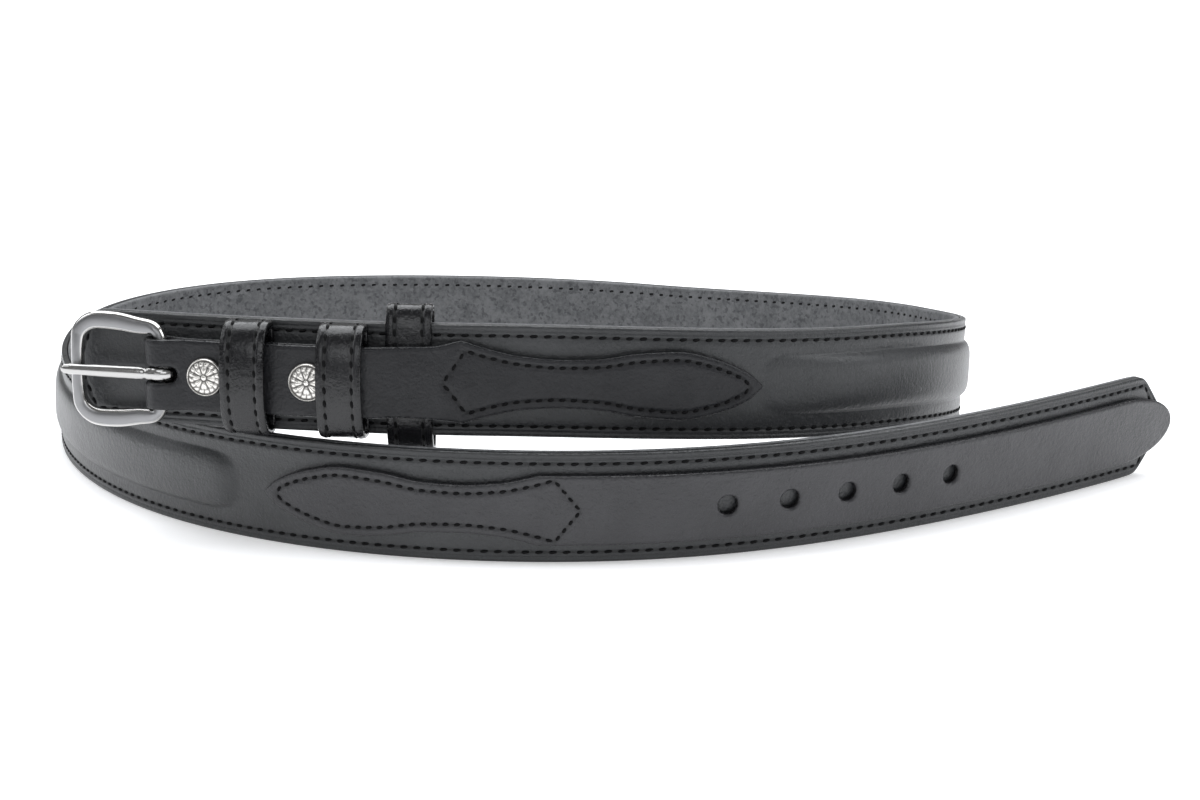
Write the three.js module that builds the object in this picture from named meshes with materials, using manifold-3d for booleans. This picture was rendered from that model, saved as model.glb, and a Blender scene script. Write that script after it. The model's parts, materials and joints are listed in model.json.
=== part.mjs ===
// A ranger belt standing on its edges in a loose coil, with the buckle end lying above the outer turn.
// Lengths are in millimetres and +Z is up. The origin is the middle of the footprint, on the ground.
// "Along" is measured on the strap's middle surface from the buckle end, "across" upwards from its
// lower edge, and "out" away from the coil's inside.

import * as THREE from "three";
import { mergeVertices } from "three/addons/utils/BufferGeometryUtils.js";
import Module from "manifold-3d";

// Clearance between neighbours, and under a keeper's flat back
const GAP = 0.3;
const KEEPER_GAP = 0.5;

// Main strap
const STRAP_LENGTH = 1456;
const STRAP_WIDTH = 38.1;
const OUTER_LEATHER = 2.2;
const LINING_LEATHER = 2.2;
const END_TAPER = 13;
const END_WIDTH = 9;

// Raised pad along the middle of the outer leather
const PAD_WIDTH = 21;
const PAD_HEIGHT = 2.4;
const PAD_RUN_OUT = 16;
const PAD_MOST_OF_STRAP = 0.9;
const PAD_AFTER_BUCKLE_LEAF = 1;
const PAD_BEFORE_TIP_LEAF = 14;

// Billets: the narrow straps whose leaf-and-kite ends are sewn to the main strap
const BILLET_LEATHER = 2.6;
const BILLET_WIDTH = 24.2;
const OVERLAY_LENGTH = 101;
const KITE_PAST_STRAP_KEEPER = 17.6;
const TIP_LEAF_FROM_END = 360;
const TIP_OVERHANG = 3;
const TIP_ROUNDING = 30;
const POINT_BLUNTNESS = 0.06;
const FOLD_PLAY = 0.6;
const RETURN_PAST_STUD = 15;

// Buckle holes in the tip billet
const HOLE_COUNT = 5;
const HOLE_DIAMETER = 6.4;
const HOLE_SPACING = 21.8;
const MIDDLE_HOLE_FROM_TIP = 163.5;

// Buckle frame, measured from the middle of its heel bar
const BAR_FROM_END = 37;
const BAR_DIAMETER = 4.4;
const FRAME_REACH = 33;
const FRAME_HEIGHT = 40;
const FRAME_THICKNESS = 3.8;
const FRAME_RIM = 6.2;

// Prong
const PRONG_WIDTH = 4.6;
const PRONG_THICKNESS = 3;
const PRONG_EYE_WALL = 2.2;
const PRONG_PAST_FRAME = 2.6;
const PRONG_SLOT_PLAY = 0.8;

// Screw studs that hold the folded billet
const STUD_COUNT = 2;
const STUD_FROM_BAR = 17;
const STUD_SPACING = 35;
const STUD_DIAMETER = 13.2;
const STUD_RIM = 0.9;
const STUD_DOME = 1.1;
const PETAL_COUNT = 8;
const PETAL_RELIEF = 0.35;
const POST_DIAMETER = 4;
const CAP_DIAMETER = 6;
const CAP_THICKNESS = 1.5;

// Keepers
const KEEPER_LEATHER = 2;
const KEEPER_WIDTH = 15.5;
const BILLET_KEEPER_HEIGHT = 38.4;
const BILLET_KEEPER_BOW = 9.4;
const NEAR_KEEPER_PAST_FIRST_STUD = 14;
const MIDDLE_KEEPER_PAST_LAST_STUD = 11.3;
const STRAP_KEEPER_HEIGHT = 50;
const STRAP_KEEPER_PAST_RETURN = 17.4;

// Fineness of the meshes
const PLAN_STEP = 2;
const STATION_STEP = 12;
const CLOSEST_STATIONS = 0.5;
const KEEPER_SIDES = 32;
const FOLD_STEPS = 10;
const HOLE_SIDES = 24;
const ARC_STEPS = 14;
const FRAME_STEPS = 56;
const FRAME_SIDES = 12;
const PRONG_SIDES = 10;
const STUD_SIDES = 48;

// The belt's way round, at equal shares of its length: heading in degrees, height of the lower edge
// in strap widths, and the outward lean of the top in degrees
const ROUTE = [
  { heading: -20, lift: 1.03, lean: 0 },
  { heading: -2, lift: 1.02, lean: 0 },
  { heading: 43, lift: 0.77, lean: 1 },
  { heading: 113, lift: 0.25, lean: 3 },
  { heading: 157, lift: 0, lean: 0 },
  { heading: 190, lift: 0, lean: 0 },
  { heading: 267, lift: 0, lean: -4 },
  { heading: 307, lift: 0, lean: 4 },
  { heading: 351, lift: 0, lean: 4 },
  { heading: 391, lift: 0, lean: 9 },
  { heading: 405, lift: 0, lean: 4 },
];

// Half-width of an ornamental end, from its leaf tip to past its kite corners
const ORNAMENT = [
  { along: 0, half: POINT_BLUNTNESS },
  { along: 0.05, half: 0.4 },
  { along: 0.17, half: 0.8 },
  { along: 0.285, half: 0.98 },
  { along: 0.42, half: 0.91 },
  { along: 0.56, half: 0.725 },
  { along: 0.68, half: 0.69 },
  { along: 0.81, half: 0.77 },
  { along: 0.91, half: 0.95 },
  { along: 1, half: 1.18 },
  { along: 1.1, half: 1.03 },
  { along: 1.2, half: 1 },
];

// Rise of the pad over its half-width
const PAD_SECTION = [
  { across: -1, rise: 0 },
  { across: -0.84, rise: 0.6 },
  { across: -0.6, rise: 0.92 },
  { across: 0, rise: 1 },
  { across: 0.6, rise: 0.92 },
  { across: 0.84, rise: 0.6 },
  { across: 1, rise: 0 },
];

// Upper half of the buckle frame's middle line, in shares of its reach and half-height, with the
// width in shares of the rim and the squareness of the section, where 2 is an ellipse
const FRAME_LINE = [
  { back: 0, up: 0, width: 0, square: 2 },
  { back: 0, up: 0.3, width: 0, square: 2 },
  { back: 0, up: 0.56, width: 0, square: 2 },
  { back: 0.06, up: 0.735, width: 0.72, square: 2.6 },
  { back: 0.26, up: 0.79, width: 0.92, square: 3.2 },
  { back: 0.52, up: 0.845, width: 1, square: 3.2 },
  { back: 0.77, up: 0.82, width: 0.95, square: 3.2 },
  { back: 0.895, up: 0.65, width: 0.85, square: 3.2 },
  { back: 0.928, up: 0.35, width: 0.74, square: 3.2 },
  { back: 0.93, up: 0, width: 0.72, square: 3.2 },
];

// Crown of a stud's head, in shares of its radius, with the petals' share of their relief
const STUD_CROWN = [
  { radius: 0.94, petal: 0 },
  { radius: 0.8, petal: 1 },
  { radius: 0.6, petal: 1 },
  { radius: 0.4, petal: 1 },
  { radius: 0.24, petal: 0 },
  { radius: 0, petal: 0 },
];

// Arm of the prong from its eye to its tip: shares of its length, of the drop from the eye's top to
// where it rests on the frame, and of its width and thickness
const PRONG_LINE = [
  { back: 0.18, drop: 0, wide: 0.9, thick: 0.9 },
  { back: 0.21, drop: 0, wide: 1, thick: 1 },
  { back: 0.6, drop: 0.5, wide: 1, thick: 1 },
  { back: 0.8, drop: 1, wide: 1, thick: 1 },
  { back: 0.93, drop: 1, wide: 0.9, thick: 0.95 },
  { back: 0.985, drop: 1.3, wide: 0.6, thick: 0.7 },
  { back: 1, drop: 1.6, wide: 0.25, thick: 0.3 },
];

const MIDDLE = STRAP_WIDTH / 2;
const STRAP_THICKNESS = OUTER_LEATHER + GAP + LINING_LEATHER;
const FACE = STRAP_THICKNESS / 2;
const SEWN_OUT = FACE + GAP + BILLET_LEATHER / 2;
const KEEPER_SEAT = FACE + KEEPER_GAP;
const RETURN_BACK = KEEPER_SEAT + KEEPER_LEATHER + GAP;
const RETURN_OUT = RETURN_BACK + BILLET_LEATHER / 2;
const FRONT_OUT = RETURN_OUT + BILLET_LEATHER + GAP;
const FRONT_FACE = FRONT_OUT + BILLET_LEATHER / 2;
const FOLD_RADIUS = BAR_DIAMETER / 2 + FOLD_PLAY + BILLET_LEATHER / 2;
const BAR_OUT = FACE + GAP + FOLD_RADIUS + BILLET_LEATHER / 2;
const EYE_INNER = BAR_DIAMETER / 2 + GAP;
const EYE_OUTER = EYE_INNER + PRONG_EYE_WALL;
const TIP_LEAF = STRAP_LENGTH - TIP_LEAF_FROM_END;
const TIP_END = STRAP_LENGTH + TIP_OVERHANG;
const FIRST_STUD = BAR_FROM_END + STUD_FROM_BAR;
const LAST_STUD = FIRST_STUD + (STUD_COUNT - 1) * STUD_SPACING;
const RETURN_END = LAST_STUD + RETURN_PAST_STUD;
const NEAR_KEEPER = FIRST_STUD + NEAR_KEEPER_PAST_FIRST_STUD;
const MIDDLE_KEEPER = LAST_STUD + MIDDLE_KEEPER_PAST_LAST_STUD;
const STRAP_KEEPER = RETURN_END + STRAP_KEEPER_PAST_RETURN;
const KITE_CORNER = STRAP_KEEPER + KITE_PAST_STRAP_KEEPER;
const LEAF_TIP = KITE_CORNER + OVERLAY_LENGTH;

const wasm = await Module();
wasm.setup();

// Smooth curve through rows of values at rising places, flat where the values turn
function curveThrough(places, values) {
  const slopes = places.slice(1).map((place, i) => (values[i + 1] - values[i]) / (place - places[i]));
  const tangents = values.map((_, i) => {
    const before = slopes[Math.max(i - 1, 0)];
    const after = slopes[Math.min(i, slopes.length - 1)];
    return before * after > 0 ? (2 * before * after) / (before + after) : 0;
  });
  return (at) => {
    const last = slopes.length - 1;
    let i = 0;
    while (i < last && at > places[i + 1]) i += 1;
    const span = places[i + 1] - places[i];
    const t = THREE.MathUtils.clamp((at - places[i]) / span, 0, 1);
    const value = (1 + 2 * t) * (1 - t) ** 2 * values[i] + t * t * (3 - 2 * t) * values[i + 1];
    const bend = t * (1 - t) ** 2 * tangents[i] + t * t * (t - 1) * tangents[i + 1];
    return value + span * bend;
  };
}

const routePlaces = ROUTE.map((_, i) => (i * STRAP_LENGTH) / (ROUTE.length - 1));
const routeColumn = (name) => curveThrough(routePlaces, ROUTE.map((row) => row[name]));
const headingAt = routeColumn("heading");
const liftAt = routeColumn("lift");
const leanAt = routeColumn("lean");

// Plan points of the middle surface, added up from the headings
const plan = [new THREE.Vector2(0, 0)];
for (let along = 0; along < STRAP_LENGTH; along += PLAN_STEP) {
  const heading = THREE.MathUtils.degToRad(headingAt(along + PLAN_STEP / 2));
  const step = new THREE.Vector2(Math.cos(heading), Math.sin(heading)).multiplyScalar(PLAN_STEP);
  plan.push(plan.at(-1).clone().add(step));
}

function planPoint(along) {
  const i = THREE.MathUtils.clamp(Math.floor(along / PLAN_STEP), 0, plan.length - 2);
  return new THREE.Vector2().lerpVectors(plan[i], plan[i + 1], along / PLAN_STEP - i);
}

// Axes of the strap at a place along it
function axesAt(along) {
  const heading = THREE.MathUtils.degToRad(headingAt(along));
  const lean = THREE.MathUtils.degToRad(leanAt(along));
  const level = new THREE.Vector3(Math.sin(heading), -Math.cos(heading), 0);
  const rise = new THREE.Vector3(0, 0, 1);
  const across = level.clone().multiplyScalar(Math.sin(lean)).addScaledVector(rise, Math.cos(lean));
  const out = level.clone().multiplyScalar(Math.cos(lean)).addScaledVector(rise, -Math.sin(lean));
  const forward = new THREE.Vector3(Math.cos(heading), Math.sin(heading), 0);
  return { forward, across, out, lean };
}

// Point of space for a place on, over or behind the strap
function place(along, across, out) {
  const axes = axesAt(along);
  const point = planPoint(along);
  const foot = liftAt(along) * STRAP_WIDTH + FACE * Math.abs(Math.sin(axes.lean));
  return new THREE.Vector3(point.x, point.y, foot)
    .addScaledVector(axes.across, across)
    .addScaledVector(axes.out, out);
}

// Puts an object on the strap with its X forward, its Y across and its Z out
function seat(object, along, across, out) {
  const axes = axesAt(along);
  const turn = new THREE.Matrix4().makeBasis(axes.forward, axes.across, axes.out);
  object.position.copy(place(along, across, out));
  object.quaternion.setFromRotationMatrix(turn);
  return object;
}

// Stations every few millimetres between two places, with the extra ones that a shape needs
function stations(from, to, extras = []) {
  const all = [from, to, ...extras];
  for (let i = Math.ceil(from / STATION_STEP); i * STATION_STEP < to; i += 1) all.push(i * STATION_STEP);
  const sorted = all.filter((at) => at >= from && at <= to).sort((a, b) => a - b);
  return sorted.filter((at, i) => i === 0 || at - sorted[i - 1] > CLOSEST_STATIONS || extras.includes(at));
}

// Closed skin over equal rings of points, capped at both ends or joined round to the first ring
function skin(rings, joined = false) {
  const sides = rings[0].length;
  const positions = rings.flat().flatMap((point) => point.toArray());
  const index = [];
  const turns = joined ? rings.length : rings.length - 1;
  for (let i = 0; i < turns; i += 1) {
    const here = i * sides;
    const next = ((i + 1) % rings.length) * sides;
    for (let j = 0; j < sides; j += 1) {
      const k = (j + 1) % sides;
      index.push(here + j, here + k, next + k, here + j, next + k, next + j);
    }
  }
  if (!joined) {
    const last = (rings.length - 1) * sides;
    for (let j = 1; j < sides - 1; j += 1) {
      index.push(0, j + 1, j, last, last + j, last + j + 1);
    }
  }
  const geometry = new THREE.BufferGeometry();
  geometry.setAttribute("position", new THREE.Float32BufferAttribute(positions, 3));
  geometry.setIndex(signedVolume(positions, index) < 0 ? index.reverse() : index);
  return geometry;
}

function signedVolume(positions, index) {
  const corner = (i) => new THREE.Vector3().fromArray(positions, 3 * i);
  let total = 0;
  for (let i = 0; i < index.length; i += 3) {
    total += corner(index[i]).dot(corner(index[i + 1]).cross(corner(index[i + 2])));
  }
  return total / 6;
}

// Solid for booleans from a closed geometry
function solidOf(geometry) {
  const bare = geometry.clone();
  bare.deleteAttribute("normal");
  bare.deleteAttribute("uv");
  const merged = mergeVertices(bare);
  const vertProperties = new Float32Array(merged.attributes.position.array);
  const triVerts = new Uint32Array(merged.index.array);
  return new wasm.Manifold(new wasm.Mesh({ numProp: 3, vertProperties, triVerts }));
}

function geometryOf(solid) {
  const mesh = solid.getMesh();
  const geometry = new THREE.BufferGeometry();
  geometry.setAttribute("position", new THREE.BufferAttribute(new Float32Array(mesh.vertProperties), 3));
  geometry.setIndex(new THREE.BufferAttribute(new Uint32Array(mesh.triVerts), 1));
  return geometry;
}

// Geometry as it lies once seated on the strap
function seatedGeometry(geometry, along, across, out) {
  const holder = seat(new THREE.Object3D(), along, across, out);
  holder.updateMatrixWorld(true);
  return geometry.applyMatrix4(holder.matrixWorld);
}

function cut(geometry, cutters) {
  const solid = cutters.reduce((rest, cutter) => rest.subtract(solidOf(cutter)), solidOf(geometry));
  return geometryOf(solid);
}

// Upright cylinder along the out axis, centred on a place of the strap
function drill(diameter, depth, along, out) {
  const cylinder = new THREE.CylinderGeometry(diameter / 2, diameter / 2, depth, HOLE_SIDES);
  return seatedGeometry(cylinder.rotateX(Math.PI / 2), along, MIDDLE, out);
}

// Main strap: half-width with both ends cut to a blunt point
function strapHalf(along) {
  const fromEnd = Math.min(along, STRAP_LENGTH - along);
  return THREE.MathUtils.lerp(END_WIDTH / 2, MIDDLE, Math.min(fromEnd / END_TAPER, 1));
}

const padStart = LEAF_TIP + PAD_AFTER_BUCKLE_LEAF;
const padEnd = TIP_LEAF - PAD_BEFORE_TIP_LEAF;
const padSteps = [0, 0.2, 0.4, 0.6, 0.8, 1].map((share) => share * PAD_RUN_OUT);
const strapStations = stations(0, STRAP_LENGTH, [
  END_TAPER,
  STRAP_LENGTH - END_TAPER,
  ...padSteps.map((step) => padStart + step),
  ...padSteps.map((step) => padEnd - step),
]);

// Pad height in shares of the full rise, which fades in a quarter circle at either end
function padShare(along) {
  const inside = THREE.MathUtils.clamp(Math.min(along - padStart, padEnd - along) / PAD_RUN_OUT, 0, 1);
  return Math.sqrt(1 - (1 - inside) ** 2);
}

function strapOuter() {
  const back = FACE - OUTER_LEATHER;
  const rings = strapStations.map((along) => {
    const half = strapHalf(along);
    const padHalf = Math.min(PAD_WIDTH / 2, PAD_MOST_OF_STRAP * half);
    const crown = PAD_SECTION.map(({ across, rise }) =>
      place(along, MIDDLE + across * padHalf, FACE + rise * PAD_HEIGHT * padShare(along)));
    return [
      place(along, MIDDLE + half, back),
      place(along, MIDDLE - half, back),
      place(along, MIDDLE - half, FACE),
      ...crown,
      place(along, MIDDLE + half, FACE),
    ];
  });
  return skin(rings);
}

function strapLining() {
  const rings = strapStations.map((along) => {
    const half = strapHalf(along);
    return [
      place(along, MIDDLE + half, -FACE + LINING_LEATHER),
      place(along, MIDDLE - half, -FACE + LINING_LEATHER),
      place(along, MIDDLE - half, -FACE),
      place(along, MIDDLE + half, -FACE),
    ];
  });
  return skin(rings);
}

// Billets: a ribbon whose middle line is given by places along and out, with a half-width at each
const ornamentPlaces = ORNAMENT.map((row) => row.along * OVERLAY_LENGTH);
const ornamentHalves = ORNAMENT.map((row) => (row.half * BILLET_WIDTH) / 2);
const corner = ORNAMENT.findIndex((row) => row.along === 1);
const leafCurve = curveThrough(ornamentPlaces.slice(0, corner + 1), ornamentHalves.slice(0, corner + 1));
const kiteCurve = curveThrough(ornamentPlaces.slice(corner), ornamentHalves.slice(corner));
const ornamentHalf = (from) => (from < OVERLAY_LENGTH ? leafCurve(from) : kiteCurve(from));
const ornamentSteps = ORNAMENT.flatMap((row, i) => {
  const next = ORNAMENT[i + 1] ?? row;
  return [row.along, (row.along + next.along) / 2].map((share) => share * OVERLAY_LENGTH);
});

function ribbon(line) {
  const rings = line.map(({ along, out, half }, i) => {
    const before = line[Math.max(i - 1, 0)];
    const after = line[Math.min(i + 1, line.length - 1)];
    const ahead = new THREE.Vector2(after.along - before.along, after.out - before.out).normalize();
    const side = new THREE.Vector2(-ahead.y, ahead.x).multiplyScalar(BILLET_LEATHER / 2);
    return [
      place(along + side.x, MIDDLE - half, out + side.y),
      place(along + side.x, MIDDLE + half, out + side.y),
      place(along - side.x, MIDDLE + half, out - side.y),
      place(along - side.x, MIDDLE - half, out - side.y),
    ];
  });
  return skin(rings);
}

function tipHalf(along) {
  const fromTip = Math.min((TIP_END - along) / TIP_ROUNDING, 1);
  const rounded = (BILLET_WIDTH / 2) * Math.sqrt(1 - (1 - fromTip) ** 2);
  const blunt = (POINT_BLUNTNESS * BILLET_WIDTH) / 2;
  return Math.max(Math.min(ornamentHalf(along - TIP_LEAF), rounded), blunt);
}

function billetTip() {
  const roundSteps = [0, 0.03, 0.1, 0.22, 0.4, 0.65, 1].map((share) => TIP_END - share * TIP_ROUNDING);
  const extras = [...ornamentSteps.map((step) => TIP_LEAF + step), ...roundSteps];
  const line = stations(TIP_LEAF, TIP_END, extras).map((along) => (
    { along, out: SEWN_OUT, half: tipHalf(along) }));
  const middleHole = TIP_END - MIDDLE_HOLE_FROM_TIP;
  const holes = Array.from({ length: HOLE_COUNT }, (_, i) => {
    const along = middleHole + (i - (HOLE_COUNT - 1) / 2) * HOLE_SPACING;
    return drill(HOLE_DIAMETER, 4 * BILLET_LEATHER, along, SEWN_OUT);
  });
  return cut(ribbon(line), holes);
}

// Height of the front layer's middle: sewn down, over the strap keeper, over the return, to the fold
function frontOut(along) {
  const { smoothstep } = THREE.MathUtils;
  const overKeeper = 1 - smoothstep(along, STRAP_KEEPER + KEEPER_WIDTH / 2 + GAP, KITE_CORNER);
  const overReturn = 1 - smoothstep(along, RETURN_END + GAP, STRAP_KEEPER);
  const toFold = 1 - smoothstep(along, BAR_FROM_END, FIRST_STUD - STUD_DIAMETER / 2);
  return SEWN_OUT
    + (RETURN_OUT - SEWN_OUT) * overKeeper
    + (FRONT_OUT - RETURN_OUT) * overReturn
    + (BAR_OUT + FOLD_RADIUS - FRONT_OUT) * toFold;
}

function returnOut(along) {
  const toFold = 1 - THREE.MathUtils.smoothstep(along, BAR_FROM_END, FIRST_STUD - STUD_DIAMETER / 2);
  return RETURN_OUT + (BAR_OUT - FOLD_RADIUS - RETURN_OUT) * toFold;
}

// Slot with one round end, through both layers beside the prong
function prongSlot() {
  const half = (PRONG_WIDTH + PRONG_SLOT_PLAY) / 2;
  const reach = EYE_OUTER + PRONG_SLOT_PLAY;
  const outline = new THREE.Shape();
  outline.moveTo(-2 * FOLD_RADIUS, -half);
  outline.lineTo(reach, -half);
  outline.absarc(reach, 0, half, -Math.PI / 2, Math.PI / 2);
  outline.lineTo(-2 * FOLD_RADIUS, half);
  const depth = 4 * FOLD_RADIUS;
  const slot = new THREE.ExtrudeGeometry(outline, { depth, bevelEnabled: false, curveSegments: ARC_STEPS });
  return seatedGeometry(slot.translate(0, 0, -depth / 2), BAR_FROM_END, MIDDLE, BAR_OUT);
}

function billetBuckle() {
  const half = BILLET_WIDTH / 2;
  const bends = [0.1, 0.3, 0.5, 0.7, 0.9].map((share) =>
    THREE.MathUtils.lerp(BAR_FROM_END, FIRST_STUD - STUD_DIAMETER / 2, share));
  const humps = [RETURN_END + GAP, STRAP_KEEPER, STRAP_KEEPER + KEEPER_WIDTH / 2];
  const extras = [...ornamentSteps.map((step) => LEAF_TIP - step), ...bends, ...humps];
  const front = stations(BAR_FROM_END, LEAF_TIP, extras).reverse().map((along) => (
    { along, out: frontOut(along), half: ornamentHalf(LEAF_TIP - along) }));
  const fold = Array.from({ length: FOLD_STEPS - 1 }, (_, i) => {
    const angle = Math.PI / 2 + ((i + 1) * Math.PI) / FOLD_STEPS;
    const along = BAR_FROM_END + FOLD_RADIUS * Math.cos(angle);
    return { along, out: BAR_OUT + FOLD_RADIUS * Math.sin(angle), half };
  });
  const back = stations(BAR_FROM_END, RETURN_END, bends).map((along) => (
    { along, out: returnOut(along), half }));
  const holes = studPlaces.map((along) => (
    drill(POST_DIAMETER + 2 * GAP, 4 * FRONT_OUT, along, FRONT_OUT)));
  return cut(ribbon([...front, ...fold, ...back]), [...holes, prongSlot()]);
}

// Screw stud: a lathe profile from the back cap's middle to the head's, with petals raised on the head
const studPlaces = Array.from({ length: STUD_COUNT }, (_, i) => FIRST_STUD + i * STUD_SPACING);

function stud() {
  const head = STUD_DIAMETER / 2;
  const capFront = RETURN_BACK - GAP;
  const headBack = FRONT_FACE + GAP;
  const profile = [
    [0, capFront - CAP_THICKNESS],
    [CAP_DIAMETER / 2, capFront - CAP_THICKNESS],
    [CAP_DIAMETER / 2, capFront],
    [POST_DIAMETER / 2, capFront],
    [POST_DIAMETER / 2, headBack],
    [head, headBack],
    [head, headBack + STUD_RIM],
  ];
  const rimFront = headBack + STUD_RIM;
  const crown = STUD_CROWN.map(({ radius }) => [radius * head, rimFront + STUD_DOME * (1 - radius ** 2)]);
  const points = [...profile, ...crown].map(([radius, out]) => new THREE.Vector2(radius, out));
  const geometry = new THREE.LatheGeometry(points, STUD_SIDES);
  const position = geometry.attributes.position;
  const reliefs = [...profile.map(() => 0), ...STUD_CROWN.map(({ petal }) => petal * PETAL_RELIEF)];
  for (let i = 0; i < position.count; i += 1) {
    const turn = Math.atan2(position.getZ(i), position.getX(i));
    const lobe = 0.5 + 0.5 * Math.cos(PETAL_COUNT * turn);
    position.setY(i, position.getY(i) + reliefs[i % points.length] * lobe);
  }
  return geometry.rotateX(Math.PI / 2);
}

// Keeper: a flat-backed loop whose front bows out, carried round as a band with square edges
function keeper({ height, seatOut, frontOut: front, backSquare, frontSquare }) {
  const middleOut = seatOut + KEEPER_LEATHER + (front - seatOut - 2 * KEEPER_LEATHER) / 4;
  const loop = (inset) => (angle) => {
    const forward = Math.sin(angle) >= 0;
    const depth = (forward ? front - middleOut : middleOut - seatOut) - inset;
    const power = 2 / (forward ? frontSquare : backSquare);
    const share = (value) => Math.sign(value) * Math.abs(value) ** power;
    const across = (height / 2 - inset) * share(Math.cos(angle));
    return [across, middleOut + depth * share(Math.sin(angle))];
  };
  const outer = loop(0);
  const inner = loop(KEEPER_LEATHER);
  const half = KEEPER_WIDTH / 2;
  const rings = Array.from({ length: KEEPER_SIDES }, (_, i) => {
    const angle = (2 * Math.PI * i) / KEEPER_SIDES;
    const corner = (side, [across, out]) => new THREE.Vector3(side, across, out);
    return [
      corner(-half, outer(angle)),
      corner(half, outer(angle)),
      corner(half, inner(angle)),
      corner(-half, inner(angle)),
    ];
  });
  return skin(rings, true);
}

// Buckle frame round its own heel bar: X is forward, Y across and Z out
function buckleFrame() {
  const lower = FRAME_LINE.slice(1, -1).reverse().map((row) => ({ ...row, up: -row.up }));
  const rows = [...FRAME_LINE, ...lower];
  const middle = new THREE.CatmullRomCurve3(
    rows.map((row) => new THREE.Vector3(-row.back * FRAME_REACH, (row.up * FRAME_HEIGHT) / 2, 0)), true);
  const sizes = new THREE.CatmullRomCurve3(rows.map((row) => new THREE.Vector3(
    Math.max(row.width * FRAME_RIM, BAR_DIAMETER),
    row.width > 0 ? FRAME_THICKNESS : BAR_DIAMETER,
    row.square,
  )), true);
  const rings = Array.from({ length: FRAME_STEPS }, (_, i) => {
    const at = i / FRAME_STEPS;
    const centre = middle.getPoint(at);
    const ahead = middle.getTangent(at);
    const side = new THREE.Vector3(ahead.y, -ahead.x, 0).normalize();
    const { x: width, y: thickness, z: square } = sizes.getPoint(at);
    return Array.from({ length: FRAME_SIDES }, (__, j) => {
      const angle = (2 * Math.PI * (j + 0.5)) / FRAME_SIDES;
      const share = (value) => Math.sign(value) * Math.abs(value) ** (2 / square);
      return centre.clone()
        .addScaledVector(side, (width / 2) * share(Math.cos(angle)))
        .add(new THREE.Vector3(0, 0, (thickness / 2) * share(Math.sin(angle))));
    });
  });
  return skin(rings, true);
}

// Prong: an eye round the heel bar and an arm that rests on the frame's far side
function prong() {
  const eye = new THREE.Shape().absarc(0, 0, EYE_OUTER, 0, 2 * Math.PI);
  eye.holes.push(new THREE.Path().absarc(0, 0, EYE_INNER, 0, 2 * Math.PI, true));
  const rim = { depth: PRONG_WIDTH, bevelEnabled: false, curveSegments: ARC_STEPS };
  const ring = new THREE.ExtrudeGeometry(eye, rim);
  ring.translate(0, 0, -PRONG_WIDTH / 2).rotateX(Math.PI / 2);
  const reach = FRAME_REACH + PRONG_PAST_FRAME;
  const restOut = FRAME_THICKNESS / 2 + GAP + PRONG_THICKNESS / 2;
  const topOut = EYE_OUTER - PRONG_THICKNESS / 2;
  const inWall = { wide: 0.9, thick: (0.9 * PRONG_EYE_WALL) / PRONG_THICKNESS };
  const line = [
    { x: 0, z: EYE_OUTER - PRONG_EYE_WALL / 2, ...inWall },
    ...PRONG_LINE.map(({ back, drop, wide, thick }) => (
      { x: -back * reach, z: THREE.MathUtils.lerp(topOut, restOut, drop), wide, thick })),
  ];
  const rings = line.map(({ x, z, wide, thick }) => Array.from({ length: PRONG_SIDES }, (_, j) => {
    const angle = (2 * Math.PI * (j + 0.5)) / PRONG_SIDES;
    const y = (wide * PRONG_WIDTH * Math.cos(angle)) / 2;
    return new THREE.Vector3(x, y, z + (thick * PRONG_THICKNESS * Math.sin(angle)) / 2);
  }));
  return geometryOf(solidOf(ring).add(solidOf(skin(rings))));
}

const blackLeather = new THREE.MeshStandardMaterial({ color: 0x2b2c2f, roughness: 0.5, metalness: 0 });
const liningLeather = new THREE.MeshStandardMaterial({ color: 0x4a4b4e, roughness: 0.8, metalness: 0 });
const satinNickel = new THREE.MeshStandardMaterial({ color: 0xa9a6a1, roughness: 0.28, metalness: 1 });
const brightNickel = new THREE.MeshStandardMaterial({ color: 0xd0cdc6, roughness: 0.2, metalness: 1 });

function named(name, geometry, material) {
  const mesh = new THREE.Mesh(geometry, material);
  mesh.name = name;
  return mesh;
}

const belt = new THREE.Group();
belt.add(named("strap_outer", strapOuter(), blackLeather));
belt.add(named("strap_lining", strapLining(), liningLeather));
belt.add(named("billet_buckle", billetBuckle(), blackLeather));
belt.add(named("billet_tip", billetTip(), blackLeather));

studPlaces.forEach((along, i) => {
  belt.add(seat(named(`stud_${i + 1}`, stud(), brightNickel), along, MIDDLE, 0));
});

const billetLoop = keeper({
  height: BILLET_KEEPER_HEIGHT,
  seatOut: KEEPER_SEAT,
  frontOut: KEEPER_SEAT + KEEPER_LEATHER + BILLET_KEEPER_BOW + KEEPER_LEATHER,
  backSquare: 6,
  frontSquare: 2.4,
});
const nearKeeper = named("keeper_near_buckle", billetLoop, blackLeather);
const middleKeeper = named("keeper_middle", billetLoop.clone(), blackLeather);
belt.add(seat(nearKeeper, NEAR_KEEPER, MIDDLE, 0));
belt.add(seat(middleKeeper, MIDDLE_KEEPER, MIDDLE, 0));

const strapLoop = keeper({
  height: STRAP_KEEPER_HEIGHT,
  seatOut: -KEEPER_SEAT - KEEPER_LEATHER,
  frontOut: KEEPER_SEAT + KEEPER_LEATHER,
  backSquare: 6,
  frontSquare: 6,
});
belt.add(seat(named("keeper_strap", strapLoop, blackLeather), STRAP_KEEPER, MIDDLE, 0));

const buckle = seat(new THREE.Group(), BAR_FROM_END, MIDDLE, BAR_OUT);
buckle.add(named("buckle_frame", buckleFrame(), satinNickel));
buckle.add(named("buckle_prong", prong(), satinNickel));
belt.add(buckle);

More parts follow.
